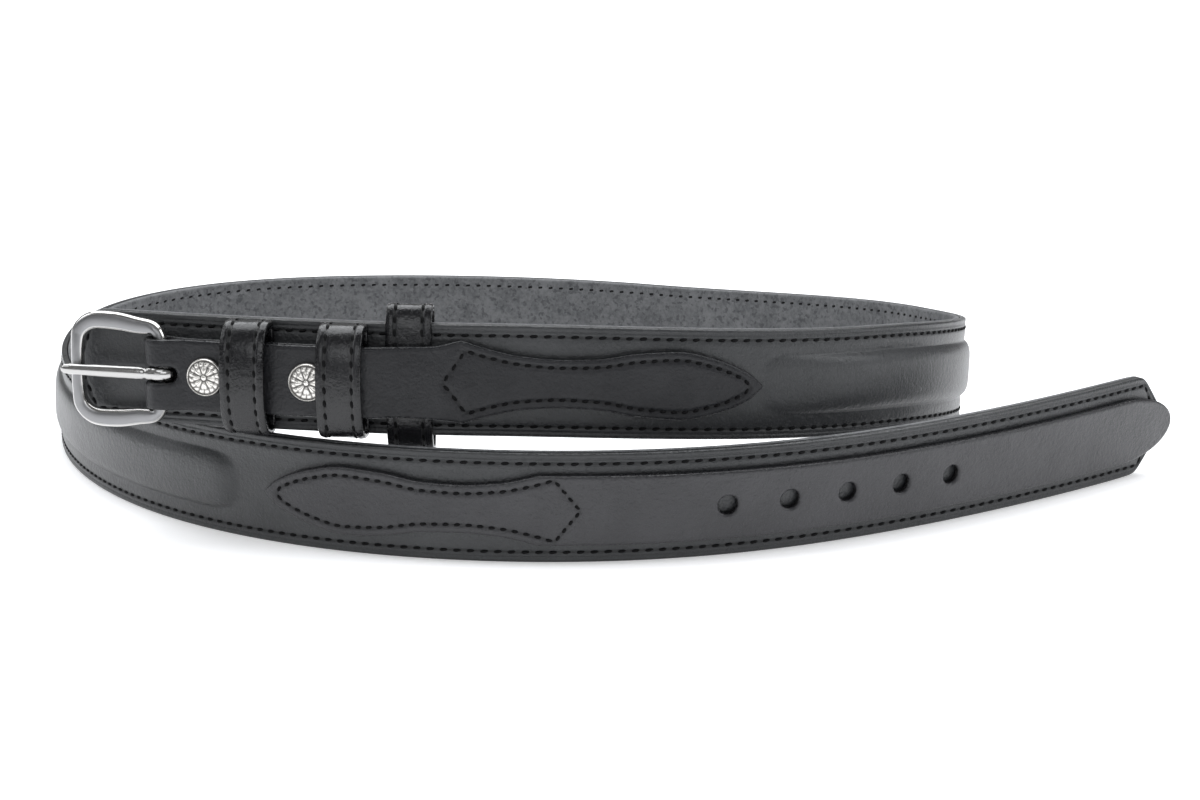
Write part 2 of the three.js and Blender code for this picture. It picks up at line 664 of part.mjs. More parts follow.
// The origin goes under the middle of the footprint
belt.updateMatrixWorld(true);
const footprint = new THREE.Box3().setFromObject(belt, true);
const centre = footprint.getCenter(new THREE.Vector3());
belt.position.set(-centre.x, -centre.y, -footprint.min.z);

export default belt;
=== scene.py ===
"""A black leather ranger belt standing on edge in a loose coil, on a pale floor in soft light.

Lengths are in millimetres until place() turns them into the frame's metres. Along is measured on the strap's
middle surface from the buckle end, across upwards from its lower edge, and out away from the coil's inside.
"""

import json
import math

import bmesh
import bpy
import numpy as np
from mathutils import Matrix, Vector


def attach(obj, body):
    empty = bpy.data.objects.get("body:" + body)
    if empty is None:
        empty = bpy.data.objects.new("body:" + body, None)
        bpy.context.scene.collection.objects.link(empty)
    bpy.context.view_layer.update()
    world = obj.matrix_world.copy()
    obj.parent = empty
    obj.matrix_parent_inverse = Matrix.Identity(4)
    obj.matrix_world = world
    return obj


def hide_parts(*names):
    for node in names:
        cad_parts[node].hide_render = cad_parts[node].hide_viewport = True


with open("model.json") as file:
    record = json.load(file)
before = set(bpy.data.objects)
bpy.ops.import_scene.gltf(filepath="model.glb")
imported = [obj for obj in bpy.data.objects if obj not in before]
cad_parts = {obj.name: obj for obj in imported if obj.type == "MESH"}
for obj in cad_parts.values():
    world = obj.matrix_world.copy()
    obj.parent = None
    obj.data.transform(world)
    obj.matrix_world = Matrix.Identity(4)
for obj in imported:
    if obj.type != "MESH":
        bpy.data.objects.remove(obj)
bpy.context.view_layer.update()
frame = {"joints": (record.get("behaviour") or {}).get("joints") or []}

MM = 0.001
MERGE_DISTANCE = 1e-6

# Strap
STRAP_LENGTH = 1456
STRAP_WIDTH = 38.1
OUTER_LEATHER = 2.2
LINING_LEATHER = 2.2
GAP = 0.3
TIP_END_TAPER = 13
BUCKLE_END_TAPER = 9.5
END_WIDTH = 9
CORNER_ROUNDING = 2.2
OUTER_EDGE_RADIUS = 0.8
LINING_EDGE_RADIUS = 1.1
# Width of the outer leather's black edge band: burnished, with painted shade along it
OUTER_EDGE_DARK_BAND = 1.4
LINING_EDGE_WEAR = 1.0
SEAM_RADIUS = 0.3
OUTER_ROW_STEP = 1.7
LINING_ROW_STEP = 2.4
END_ROW_STEP = 0.7

# Pad under the outer leather
PAD_WIDTH = 21
PAD_HEIGHT = 2.4
PAD_RUN_OUT = 16
PAD_AFTER_BUCKLE_LEAF = 1
PAD_BEFORE_TIP_LEAF = 14
PAD_EASE = 46
PAD_START_SHARE = 0.25
PAD_CORNER_POWER = 3
PAD_FLATNESS_POWER = 5
PAD_SHOULDER_POWER = 0.95
PAD_FOOT_DEPTH = 0.22
PAD_FOOT_WIDTH = 0.9
PAD_FOOT_SHARE = 1.03

# Billets
BILLET_LEATHER = 2.6
BILLET_WIDTH = 24.2
BILLET_EDGE_RADIUS = 0.85
# Width of the billets' black edge band: burnished, with painted shade along it
BILLET_EDGE_DARK_BAND = 1.2
OVERLAY_LENGTH = 101
TIP_LEAF_FROM_END = 360
TIP_OVERHANG = 3
TIP_ROUNDING = 30
POINT_BLUNTNESS = 0.06
FOLD_PLAY = 0.6
RETURN_PAST_STUD = 15
HOLE_COUNT = 5
HOLE_DIAMETER = 6.4
HOLE_SPACING = 21.8
HOLE_DISH = 0.4
MIDDLE_HOLE_FROM_TIP = 163.5
KITE_PAST_STRAP_KEEPER = 17.6
BILLET_ROW_STEP = 1.1
BILLET_FOLD_ROW_STEP = 0.62
BILLET_BACK_ROW_STEP = 1.4
LINE_STEP = 0.5

# Buckle, studs and keepers
BAR_FROM_END = 37
BAR_DIAMETER = 4.4
FRAME_REACH = 33
FRAME_HEIGHT = 40
FRAME_THICKNESS = 3.8
FRAME_RIM = 6.2
PRONG_WIDTH = 4.6
PRONG_THICKNESS = 3
PRONG_EYE_WALL = 2.2
PRONG_PAST_FRAME = 2.6
PRONG_SLOT_PLAY = 0.8
STUD_FROM_BAR = 17
STUD_SPACING = 35
STUD_DIAMETER = 13.2
STUD_RIM = 0.9
STUD_DOME = 1.1
STUD_RELIEF = 0.42
STUD_PETALS = 8
POST_DIAMETER = 4
CAP_DIAMETER = 6
CAP_THICKNESS = 1.5
KEEPER_GAP = 0.5
KEEPER_LEATHER = 2
KEEPER_WIDTH = 15.5
KEEPER_EDGE_RADIUS = 0.6
# Width of the keepers' black edge band: burnished, with painted shade along it
KEEPER_EDGE_DARK_BAND = 1.3
KEEPER_BAND_RISE = 0.3
BILLET_KEEPER_HEIGHT = 38.4
BILLET_KEEPER_BOW = 9.4
STRAP_KEEPER_HEIGHT = 50
STRAP_KEEPER_BOW = 0.2
NEAR_KEEPER_PAST_FIRST_STUD = 14
MIDDLE_KEEPER_PAST_LAST_STUD = 11.3
STRAP_KEEPER_PAST_RETURN = 17.4

# Stitching
STRAP_STITCH_INSET = 3.6
STRAP_STITCH_PITCH = 4.6
OVERLAY_STITCH_INSET = 2.9
OVERLAY_STITCH_PITCH = 3.9
KEEPER_STITCH_INSET = 3.1
KEEPER_STITCH_PITCH = 4.6
STITCH_COVER = 0.64
THREAD_WIDTH = 1.15
THREAD_HEIGHT_SHARE = 0.8
STITCH_SLANT = 9
SEWING_LINE_STEP = 0.8
SHARP_CORNER = 35
STITCH_SINK = 0.22
STITCH_GROOVE_DEPTH = 0.4
STITCH_GROOVE_WIDTH = 0.6
CREASE_INSET = 1.9
CREASE_DEPTH = 0.26
CREASE_WIDTH = 0.35
CREASE_SHADE = 0.3
END_STITCH_INSET = 4.7
LEAF_STITCH_START = 4.6
KITE_STITCH_POINT = 6.8
KEEPER_STITCH_SINK = 0.12
KEEPER_GROOVE_DEPTH = 0.28
KEEPER_GROOVE_WIDTH = 0.5

# The belt's way round, at equal shares of its length: heading in degrees, height of the lower edge
# in strap widths, and the outward lean of the top in degrees
ROUTE = {
    "heading": [-20, -2, 43, 113, 157, 190, 267, 307, 351, 391, 405],
    "lift": [1.03, 1.02, 0.77, 0.25, 0, 0, 0, 0, 0, 0, 0],
    "lean": [0, 0, 1, 3, 0, 0, -4, 4, 4, 9, 4],
}

# Half-width of an ornamental end from its leaf tip to past its kite corners, in shares
ORNAMENT_ALONG = [0, 0.05, 0.17, 0.285, 0.42, 0.56, 0.68, 0.81, 0.91, 1, 1.1, 1.2]
ORNAMENT_HALF = [POINT_BLUNTNESS, 0.4, 0.8, 0.98, 0.91, 0.725, 0.69, 0.77, 0.95, 1.18, 1.03, 1]
KITE_ROW = ORNAMENT_ALONG.index(1)

# Upper half of the buckle frame's middle line, in shares of its reach and half-height, and its width
# in shares of the rim
FRAME_BACK = [0, 0, 0, 0.06, 0.26, 0.52, 0.77, 0.895, 0.928, 0.93]
FRAME_UP = [0, 0.3, 0.56, 0.735, 0.79, 0.845, 0.82, 0.65, 0.35, 0]
FRAME_WIDTHS = [0, 0, 0, 0.72, 0.92, 1, 0.95, 0.85, 0.74, 0.72]
FRAME_SQUARENESS = 0.7
FRAME_BEVEL_FROM = 0.62
FRAME_BEVEL_WIDTH = 0.2

# Prong's arm from its tail, past the bar, to its tip: places in shares of its reach, heights that are 0 level
# with the eye's top and 1 where it rests on the frame, and its width and thickness in shares
PRONG_BACK = [-0.15, -0.146, -0.13, -0.09, 0, 0.08, 0.105, 0.12, 0.135, 0.155, 0.2, 0.6, 0.9, 0.965, 0.99, 1]
PRONG_HEIGHTS = [-3, -3, -2, -0.8, 0, 0, 0, 0.1, 0.1, 0.1, 0.2, 0.8, 1, 1, 1.1, 1.2]
PRONG_WIDTHS = [0, 0.3, 0.62, 0.88, 1, 0.98, 0.9, 0.78, 0.78, 0.9, 0.95, 0.9, 0.8, 0.66, 0.4, 0]
PRONG_THICKNESSES = [0, 0.25, 0.55, 0.85, 1, 1, 0.95, 0.82, 0.82, 0.92, 0.95, 0.95, 0.88, 0.7, 0.42, 0]
EYE_POWER = 0.8
PRONG_POLISH = 0.6

MIDDLE = STRAP_WIDTH / 2
FACE = (OUTER_LEATHER + GAP + LINING_LEATHER) / 2
SEWN_OUT = FACE + GAP + BILLET_LEATHER / 2
KEEPER_SEAT = FACE + KEEPER_GAP
RETURN_OUT = KEEPER_SEAT + KEEPER_LEATHER + GAP + BILLET_LEATHER / 2
FRONT_OUT = RETURN_OUT + BILLET_LEATHER + GAP
FRONT_FACE = FRONT_OUT + BILLET_LEATHER / 2
FOLD_RADIUS = BAR_DIAMETER / 2 + FOLD_PLAY + BILLET_LEATHER / 2
BAR_OUT = FACE + GAP + FOLD_RADIUS + BILLET_LEATHER / 2
EYE_INNER = BAR_DIAMETER / 2 + GAP
EYE_OUTER = EYE_INNER + PRONG_EYE_WALL
FIRST_STUD = BAR_FROM_END + STUD_FROM_BAR
LAST_STUD = FIRST_STUD + STUD_SPACING
RETURN_END = LAST_STUD + RETURN_PAST_STUD
NEAR_KEEPER = FIRST_STUD + NEAR_KEEPER_PAST_FIRST_STUD
MIDDLE_KEEPER = LAST_STUD + MIDDLE_KEEPER_PAST_LAST_STUD
STRAP_KEEPER = RETURN_END + STRAP_KEEPER_PAST_RETURN
KITE_CORNER = STRAP_KEEPER + KITE_PAST_STRAP_KEEPER
LEAF_TIP = KITE_CORNER + OVERLAY_LENGTH
TIP_LEAF = STRAP_LENGTH - TIP_LEAF_FROM_END
TIP_END = STRAP_LENGTH + TIP_OVERHANG
POST_SHARE = POST_DIAMETER / STUD_DIAMETER
CAP_SHARE = CAP_DIAMETER / STUD_DIAMETER


def curve_through(places, values):
    """Cubic pieces through values at rising places. The slope at each is the harmonic mean of the slopes
    either side, or none where the values turn, so the curve never overshoots."""
    places = np.asarray(places, float)
    values = np.asarray(values, float)
    slopes = np.diff(values) / np.diff(places)
    before = np.concatenate([slopes[:1], slopes])
    after = np.concatenate([slopes, slopes[-1:]])
    same = before * after > 0
    tangents = np.where(same, 2 * before * after / np.where(same, before + after, 1), 0)

    def at(x):
        x = np.asarray(x, float)
        i = np.clip(np.searchsorted(places, x, side="right") - 1, 0, len(slopes) - 1)
        span = places[i + 1] - places[i]
        t = np.clip((x - places[i]) / span, 0, 1)
        ends = (1 + 2 * t) * (1 - t) ** 2 * values[i] + t * t * (3 - 2 * t) * values[i + 1]
        bends = t * (1 - t) ** 2 * tangents[i] + t * t * (t - 1) * tangents[i + 1]
        return ends + span * bends

    return at


route_places = np.linspace(0, STRAP_LENGTH, len(ROUTE["heading"]))
heading_at = curve_through(route_places, ROUTE["heading"])
lift_at = curve_through(route_places, ROUTE["lift"])
lean_at = curve_through(route_places, ROUTE["lean"])

# Plan points of the middle surface, added up from the headings
PLAN_STEP = 0.5
PLAN_MARGIN = 60
plan_places = np.arange(-PLAN_MARGIN, STRAP_LENGTH + PLAN_MARGIN, PLAN_STEP)
plan_headings = np.radians(heading_at(plan_places + PLAN_STEP / 2))
plan_x = np.concatenate([[0], np.cumsum(np.cos(plan_headings))[:-1]]) * PLAN_STEP
plan_y = np.concatenate([[0], np.cumsum(np.sin(plan_headings))[:-1]]) * PLAN_STEP


def axes_at(along):
    """Forward, across and out directions of the strap: level ones turned by the heading, then leaned."""
    heading = np.radians(heading_at(along))
    lean = np.radians(lean_at(along))
    nothing = np.zeros_like(heading)
    level = np.stack([np.sin(heading), -np.cos(heading), nothing], -1)
    rise = np.array([0.0, 0.0, 1.0])
    across = level * np.sin(lean)[..., None] + rise * np.cos(lean)[..., None]
    out = level * np.cos(lean)[..., None] - rise * np.sin(lean)[..., None]
    forward = np.stack([np.cos(heading), np.sin(heading), nothing], -1)
    return forward, across, out


def place_from_plan(along, across, out):
    """Plan point, raised by the lift and the lean's foot, plus across and out along their directions."""
    along, across, out = np.broadcast_arrays(*(np.asarray(v, float) for v in (along, across, out)))
    _, across_axis, out_axis = axes_at(along)
    foot = lift_at(along) * STRAP_WIDTH + FACE * np.abs(np.sin(np.radians(lean_at(along))))
    x = np.interp(along, plan_places, plan_x)
    y = np.interp(along, plan_places, plan_y)
    base = np.stack([x, y, foot], -1)
    return (base + across_axis * across[..., None] + out_axis * out[..., None]) * MM


hinge = next(joint for joint in frame["joints"] if joint["name"] == "buckle_hinge")
belt_shift = np.array(hinge["pos_m"]) - place_from_plan(BAR_FROM_END, MIDDLE, BAR_OUT)


def place(along, across, out):
    """Point of the frame for a place on the strap, so that the heel bar falls on the buckle's hinge."""
    return place_from_plan(along, across, out) + belt_shift


def seated(points, along, out):
    """Points with their X forward, Y across and Z out, carried to a place on the strap's middle."""
    forward, across, out_axis = axes_at(np.float64(along))
    turn = np.stack([forward, across, out_axis])
    return np.asarray(points) @ turn * MM + place(along, MIDDLE, out)


def grid_faces(rows, columns, wrap_rows=False, wrap_columns=False):
    """Corner numbers of the squares between neighbouring rows and columns of a grid of vertices."""
    i = np.arange(rows if wrap_rows else rows - 1)
    j = np.arange(columns if wrap_columns else columns - 1)
    i, j = np.meshgrid(i, j, indexing="ij")
    i_next = (i + 1) % rows
    j_next = (j + 1) % columns
    corners = [i * columns + j, i_next * columns + j, i_next * columns + j_next, i * columns + j_next]
    return np.stack(corners, -1).reshape(-1, 4)


def make_piece(name, points, faces, material, body="root", marks=None):
    """Mesh of four-cornered faces, whose doubled vertices are merged and whose faces are turned outwards."""
    mesh = bpy.data.meshes.new(name)
    points = np.ascontiguousarray(points, dtype=np.float32).reshape(-1, 3)
    faces = np.ascontiguousarray(faces, dtype=np.int32)
    mesh.vertices.add(len(points))
    mesh.vertices.foreach_set("co", points.ravel())
    mesh.loops.add(faces.size)
    mesh.loops.foreach_set("vertex_index", faces.ravel())
    mesh.polygons.add(len(faces))
    mesh.polygons.foreach_set("loop_start", np.arange(0, faces.size, faces.shape[1], dtype=np.int32))
    mesh.update(calc_edges=True)
    for mark, values in (marks or {}).items():
        attribute = mesh.attributes.new(mark, "FLOAT", "POINT")
        attribute.data.foreach_set("value", np.ascontiguousarray(values, dtype=np.float32).ravel())
    work = bmesh.new()
    work.from_mesh(mesh)
    bmesh.ops.remove_doubles(work, verts=work.verts, dist=MERGE_DISTANCE)
    bmesh.ops.recalc_face_normals(work, faces=work.faces)
    work.to_mesh(mesh)
    work.free()
    mesh.polygons.foreach_set("use_smooth", np.ones(len(mesh.polygons), dtype=bool))
    mesh.materials.append(material)
    piece = bpy.data.objects.new(name, mesh)
    bpy.context.scene.collection.objects.link(piece)
    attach(piece, body)
    return piece


def joined(parts):
    """Points and faces of several grids as one, each later grid's corner numbers moved up."""
    points = []
    faces = []
    start = 0
    for part_points, part_faces in parts:
        flat = np.asarray(part_points).reshape(-1, 3)
        points.append(flat)
        faces.append(part_faces + start)
        start += len(flat)
    return np.concatenate(points), np.concatenate(faces)


def distance_to_path(x, y, path):
    """Least distance of each point to the straight pieces of a path."""
    best = np.full(x.shape, np.inf)
    for (ax, ay), (bx, by) in zip(path[:-1], path[1:]):
        length = (bx - ax) ** 2 + (by - ay) ** 2
        t = np.clip(((x - ax) * (bx - ax) + (y - ay) * (by - ay)) / length, 0, 1)
        best = np.minimum(best, np.hypot(x - ax - t * (bx - ax), y - ay - t * (by - ay)))
    return best


class Socket:
    """One output of a material's node. Used in an expression, it adds Math nodes."""

    def __init__(self, graph, link):
        self.graph = graph
        self.link = link

    def maths(self, operation, *values):
        return self.graph.add("ShaderNodeMath", {"operation": operation}, dict(enumerate(values)))

    def __add__(self, other):
        return self.maths("ADD", self, other)

    def __sub__(self, other):
        return self.maths("SUBTRACT", self, other)

    def __rsub__(self, other):
        return self.maths("SUBTRACT", other, self)

    def __mul__(self, other):
        return self.maths("MULTIPLY", self, other)

    __radd__ = __add__
    __rmul__ = __mul__

    def between(self, low, high):
        """0 below low, 1 above high and a smooth step between them."""
        settings = {"interpolation_type": "SMOOTHSTEP"}
        return self.graph.add("ShaderNodeMapRange", settings, {"Value": self, 1: low, 2: high})


class Finish:
    """A material's node tree, built from expressions on its sockets."""

    def __init__(self, name):
        self.material = bpy.data.materials.new(name)
        self.material.use_nodes = True
        self.tree = self.material.node_tree
        self.tree.nodes.clear()
        self.place = self.add("ShaderNodeTexCoord", output="Object")

    def add(self, kind, settings=None, inputs=None, output=0):
        """Node of a kind, with its settings and the values or links of its sockets. Gives one output of it,
        or none where the node has none."""
        node = self.tree.nodes.new(kind)
        for name, value in (settings or {}).items():
            setattr(node, name, value)
        for name, value in (inputs or {}).items():
            if isinstance(value, Socket):
                self.tree.links.new(value.link, node.inputs[name])
            else:
                node.inputs[name].default_value = value
        return None if output is None else Socket(self, node.outputs[output])

    def noise(self, size, detail=2.0, roughness=0.5):
        """Cloudy noise from 0 to 1 whose patches are about size millimetres across."""
        inputs = {"Vector": self.place, "Scale": 1 / (size * MM), "Detail": detail, "Roughness": roughness}
        return self.add("ShaderNodeTexNoise", None, inputs)

    def cells(self, size):
        """Distance from the middle of irregular cells of about size millimetres."""
        return self.add("ShaderNodeTexVoronoi", None, {"Vector": self.place, "Scale": 1 / (size * MM)})

    def mark(self, name):
        """Value of a mesh attribute."""
        return self.add("ShaderNodeAttribute", {"attribute_name": name}, output="Fac")

    def blend(self, share, first, second):
        """Colour part way from first to second."""
        return self.add("ShaderNodeMix", {"data_type": "RGBA"}, {0: share, 6: first, 7: second}, output=2)

    def bump(self, height, depth, under=None):
        """Normal of a relief of depth millimetres, over another one where that is given."""
        inputs = {"Height": height, "Distance": depth * MM, "Strength": 1.0}
        if under is not None:
            inputs["Normal"] = under
        return self.add("ShaderNodeBump", None, inputs)

    def surface(self, **inputs):
        """Finished material, from the shader's sockets by name with _ for each space."""
        names = {key.replace("_", " "): value for key, value in inputs.items()}
        shader = self.add("ShaderNodeBsdfPrincipled", None, names)
        self.add("ShaderNodeOutputMaterial", None, {"Surface": shader}, output=None)
        return self.material


# Black that the leather blends to: painted shade in grooves, creases and holes, and burnished edges with
# painted shade along them
DEEP_BLACK = (0.002, 0.002, 0.002, 1)


def black_leather(name, tone, gloss, pebble, shine=0.5):
    """Dyed top-grain leather: fine pores and pebbles over slow waves, and a faint cloudy tone. An edge mark
    of 1 makes it black and glossier: a burnished edge, with painted shade on the band along it. A shade
    mark of 1 makes it black and duller: painted shade in grooves, creases and hole walls."""
    finish = Finish(name)
    cloud = finish.noise(22, 3.0)
    fine = finish.noise(1.1, 4.0, 0.6)
    pores = finish.cells(0.55).between(0.0, 0.35)
    edge = finish.mark("edge")
    shade = finish.mark("shade")
    light = tuple(1.6 * value for value in tone) + (1.0,)
    dark = tuple(0.6 * value for value in tone) + (1.0,)
    colour = finish.blend(cloud * 0.6 + fine * 0.4, dark, light)
    # Painted shade from the shade mark, and from the edge mark a burnished edge with painted shade along it
    painted_shade_and_edge_black = (shade * 0.6 + edge * 0.5).between(0.0, 1.0)
    colour = finish.blend(painted_shade_and_edge_black, colour, DEEP_BLACK)
    rough = gloss + (fine - 0.5) * 0.12 + (cloud - 0.5) * 0.1 - edge * 0.1
    waves = finish.bump(finish.noise(14, 2.0), 0.4)
    grains = finish.bump(finish.noise(1.7, 3.0, 0.6), pebble, waves)
    pebbles = finish.bump(finish.noise(0.9, 3.0, 0.55), 0.6 * pebble, grains)
    relief = finish.bump(pores, 0.3 * pebble, pebbles)
    return finish.surface(
        Base_Color=colour, Roughness=rough + shade * 0.3, Normal=relief, Specular_IOR_Level=shine,
        Coat_Weight=(1 - edge) * cloud * 0.4, Coat_Roughness=0.3)


def lining_leather():
    """Matte flesh-side lining: short nap in soft mottles, with darker flecks."""
    finish = Finish("lining_leather")
    patches = finish.noise(9, 3.0, 0.6)
    nap = finish.noise(1.6, 4.0, 0.65)
    flecks = finish.noise(1.9, 2.0).between(0.54, 0.66)
    edge = finish.mark("edge")
    mottle = patches * 0.45 + nap * 0.55
    dark, pale, fleck = (0.06, 0.062, 0.065, 1), (0.13, 0.132, 0.136, 1), (0.03, 0.031, 0.034, 1)
    colour = finish.blend(flecks * 0.6, finish.blend(mottle.between(0.3, 0.7), dark, pale), fleck)
    relief = finish.bump(nap, 0.22, finish.bump(patches, 0.3))
    return finish.surface(Base_Color=colour, Roughness=0.95 - edge * 0.45, Normal=relief)


def waxed_thread():
    """Black waxed thread: dull, with a fine twist in its tone."""
    finish = Finish("waxed_thread")
    twist = finish.noise(0.35, 1.0)
    dark, waxed = (0.0012, 0.0012, 0.0014, 1), (0.005, 0.005, 0.0055, 1)
    colour = finish.blend(twist, dark, waxed)
    return finish.surface(
        Base_Color=colour, Roughness=0.55 + twist * 0.15, Specular_IOR_Level=0.12,
        Normal=finish.bump(twist, 0.05))


def satin_nickel():
    """Nickel plate: brushed satin on its faces and polished on its bevels, with faint wear."""
    finish = Finish("satin_nickel")
    bevel = finish.mark("bevel")
    brushed = finish.noise(0.25, 2.0)
    wear = finish.noise(5, 3.0)
    satin, polished = (0.25, 0.25, 0.255, 1), (0.6, 0.59, 0.575, 1)
    colour = finish.blend(bevel, satin, polished)
    rough = 0.34 - bevel * 0.2 + (brushed - 0.5) * 0.1 + (wear - 0.5) * 0.06
    return finish.surface(Base_Color=colour, Metallic=1.0, Roughness=rough, Normal=finish.bump(brushed, 0.012))


def bright_nickel():
    """Cast nickel stud head: bright on its raised work and blackened in its hollows."""
    finish = Finish("bright_nickel")
    hollow = finish.mark("hollow")
    grain = finish.noise(0.5, 2.0)
    shade = (hollow + (grain - 0.5) * 0.25).between(0.25, 0.95)
    bright, blackened = (0.74, 0.72, 0.685, 1), (0.12, 0.115, 0.11, 1)
    colour = finish.blend(shade, bright, blackened)
    rough = 0.27 + shade * 0.2
    return finish.surface(Base_Color=colour, Metallic=1.0, Roughness=rough, Normal=finish.bump(grain, 0.02))


strap_black = black_leather("strap_leather", (0.0195, 0.0208, 0.0225), gloss=0.4, pebble=0.36)
tip_black = black_leather("tip_leather", (0.0135, 0.0132, 0.0158), gloss=0.38, pebble=0.38)
buckle_black = black_leather(
    "buckle_billet_leather", (0.0096, 0.0099, 0.0118), gloss=0.33, pebble=0.36, shine=0.27)
keeper_black = black_leather("keeper_leather", (0.0036, 0.0037, 0.0048), gloss=0.2, pebble=0.19, shine=0.42)
lining_black = lining_leather()
thread_black = waxed_thread()
nickel_satin = satin_nickel()
nickel_bright = bright_nickel()


def strap_half(along):
    """Half-width: the full one, or near an end the line of its slanting cut, with the corner rounded off."""
    shares = np.minimum(along / BUCKLE_END_TAPER, (STRAP_LENGTH - along) / TIP_END_TAPER)
    slanted = END_WIDTH / 2 + (MIDDLE - END_WIDTH / 2) * shares
    gap = MIDDLE - slanted
    rounded = np.sqrt(gap ** 2 + CORNER_ROUNDING ** 2)
    return np.maximum((MIDDLE + slanted - rounded) / 2, END_WIDTH / 4)


def strap_stitch_path():
    """Line of the strap's sewing, as along and across from the middle: one row in from every edge."""
    end_half = END_WIDTH / 2 - 1
    row = MIDDLE - STRAP_STITCH_INSET
    near, corner = END_STITCH_INSET, BUCKLE_END_TAPER
    far, far_corner = STRAP_LENGTH - END_STITCH_INSET, STRAP_LENGTH - TIP_END_TAPER + 0.5
    top = [(corner, row), (far_corner, row), (far, end_half)]
    bottom = [(far, -end_half), (far_corner, -row), (corner, -row), (near, -end_half), (near, end_half)]
    return top + bottom + [(corner, row)]


def strap_rows(step):
    """Stations along the strap: even ones, finer at both ends, and their inset where the cut end rounds."""
    ease = np.linspace(0, math.pi / 2, 5)
    radius = SEAM_RADIUS
    start = radius * (1 - np.cos(ease))
    inset = radius * (1 - np.sin(ease))
    reach = TIP_END_TAPER + 5
    fine = np.arange(radius + 0.5, reach, END_ROW_STEP)
    middle = np.arange(reach, STRAP_LENGTH - reach, step)
    places = np.concatenate([start, fine, middle, STRAP_LENGTH - fine[::-1], STRAP_LENGTH - start[::-1]])
    none = np.zeros(len(fine) + len(middle) + len(fine))
    return places, np.concatenate([inset, none, inset[::-1]])


def section(half, low, high, front_radius, back_radius, columns):
    """Ring of a flat strap: front columns from bottom to top, a quarter circle round each corner, then the
    back. Gives across from the middle, out, and 1 for each point of the front and of the back."""
    turn = np.linspace(0, math.pi / 2, 6)[1:-1]
    half = half[:, None]
    front_across = columns * (half - front_radius) / (MIDDLE - front_radius)
    back_columns = np.linspace(1, -1, 15)
    back_across = back_columns * (half - back_radius)
    front_across_turn = half - front_radius + front_radius * np.sin(turn)
    back_across_turn = half - back_radius + back_radius * np.cos(turn)
    wall = half + 0 * turn[:1]
    ones = np.ones_like(half)
    front_turn = (high - front_radius + front_radius * np.cos(turn)) * ones
    back_turn = (low + back_radius - back_radius * np.sin(turn)) * ones
    wall_high = (high - front_radius) * ones
    wall_low = (low + back_radius) * ones
    across = np.concatenate([
        front_across, front_across_turn, wall, wall, back_across_turn,
        back_across, -back_across_turn[:, ::-1], -wall, -wall, -front_across_turn[:, ::-1]], 1)
    out = np.concatenate([
        high + 0 * front_across, front_turn, wall_high, wall_low, back_turn,
        low + 0 * back_across, back_turn[:, ::-1], wall_low, wall_high, front_turn[:, ::-1]], 1)
    corner = len(turn) * 2 + 2
    front = np.concatenate([np.ones(len(columns)), np.zeros(2 * corner + len(back_columns))])
    back = np.concatenate([np.zeros(len(columns) + corner), np.ones(len(back_columns)), np.zeros(corner)])
    return across, out, front, back


def closed_strap(name, across, out, places, inset, low, high, marks, material, node):
    """Skin through the rings, shrunk by the inset at the cut ends and drawn together to a point there."""
    middle_out = (low + high) / 2
    thin = 1 - inset[:, None] / ((high - low) / 2)
    narrow = 1 - inset[:, None] / MIDDLE
    out = middle_out + (out - middle_out) * thin
    points = place(places[:, None] + 0 * across, MIDDLE + across * narrow, out)
    caps = place(places[[0, -1]][:, None] + 0 * across[:2], MIDDLE, middle_out)
    points = np.concatenate([caps[:1], points, caps[1:]])
    marks = {key: np.concatenate([mark[:1], mark, mark[-1:]]) for key, mark in marks.items()}
    faces = grid_faces(points.shape[0], points.shape[1], wrap_columns=True)
    piece = make_piece(name, points, faces, material, marks=marks)
    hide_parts(node)


def groove(distance, depth, width):
    """Bell-shaped hollow: depth on the line, fading over width."""
    return -depth * np.exp(-((distance / width) ** 2))


def smooth_share(x, low, high):
    """0 below low, 1 above high and 3t^2 - 2t^3 between."""
    t = np.clip((x - low) / (high - low), 0, 1)
    return t * t * (3 - 2 * t)


def hollow_shade(distance):
    """Painted shade along a groove: full on its line, fading over its width."""
    return np.exp(-((distance / STITCH_GROOVE_WIDTH) ** 2))


def edge_mark(from_edge, width):
    """1 on an edge, falling evenly to 0 at width from it."""
    return np.clip(1 - from_edge / width, 0, 1)


def squared_off(wave, power):
    """Wave whose size is raised to a power with its sign kept, as a superellipse has for each coordinate."""
    return np.sign(wave) * np.abs(wave) ** power


def band_hump(share, start, width, power):
    """Half a sine wave over a band from start, raised to a power, and 0 outside it."""
    return np.clip(np.sin(math.pi * np.clip((share - start) / width, 0, 1)), 0, 1) ** power


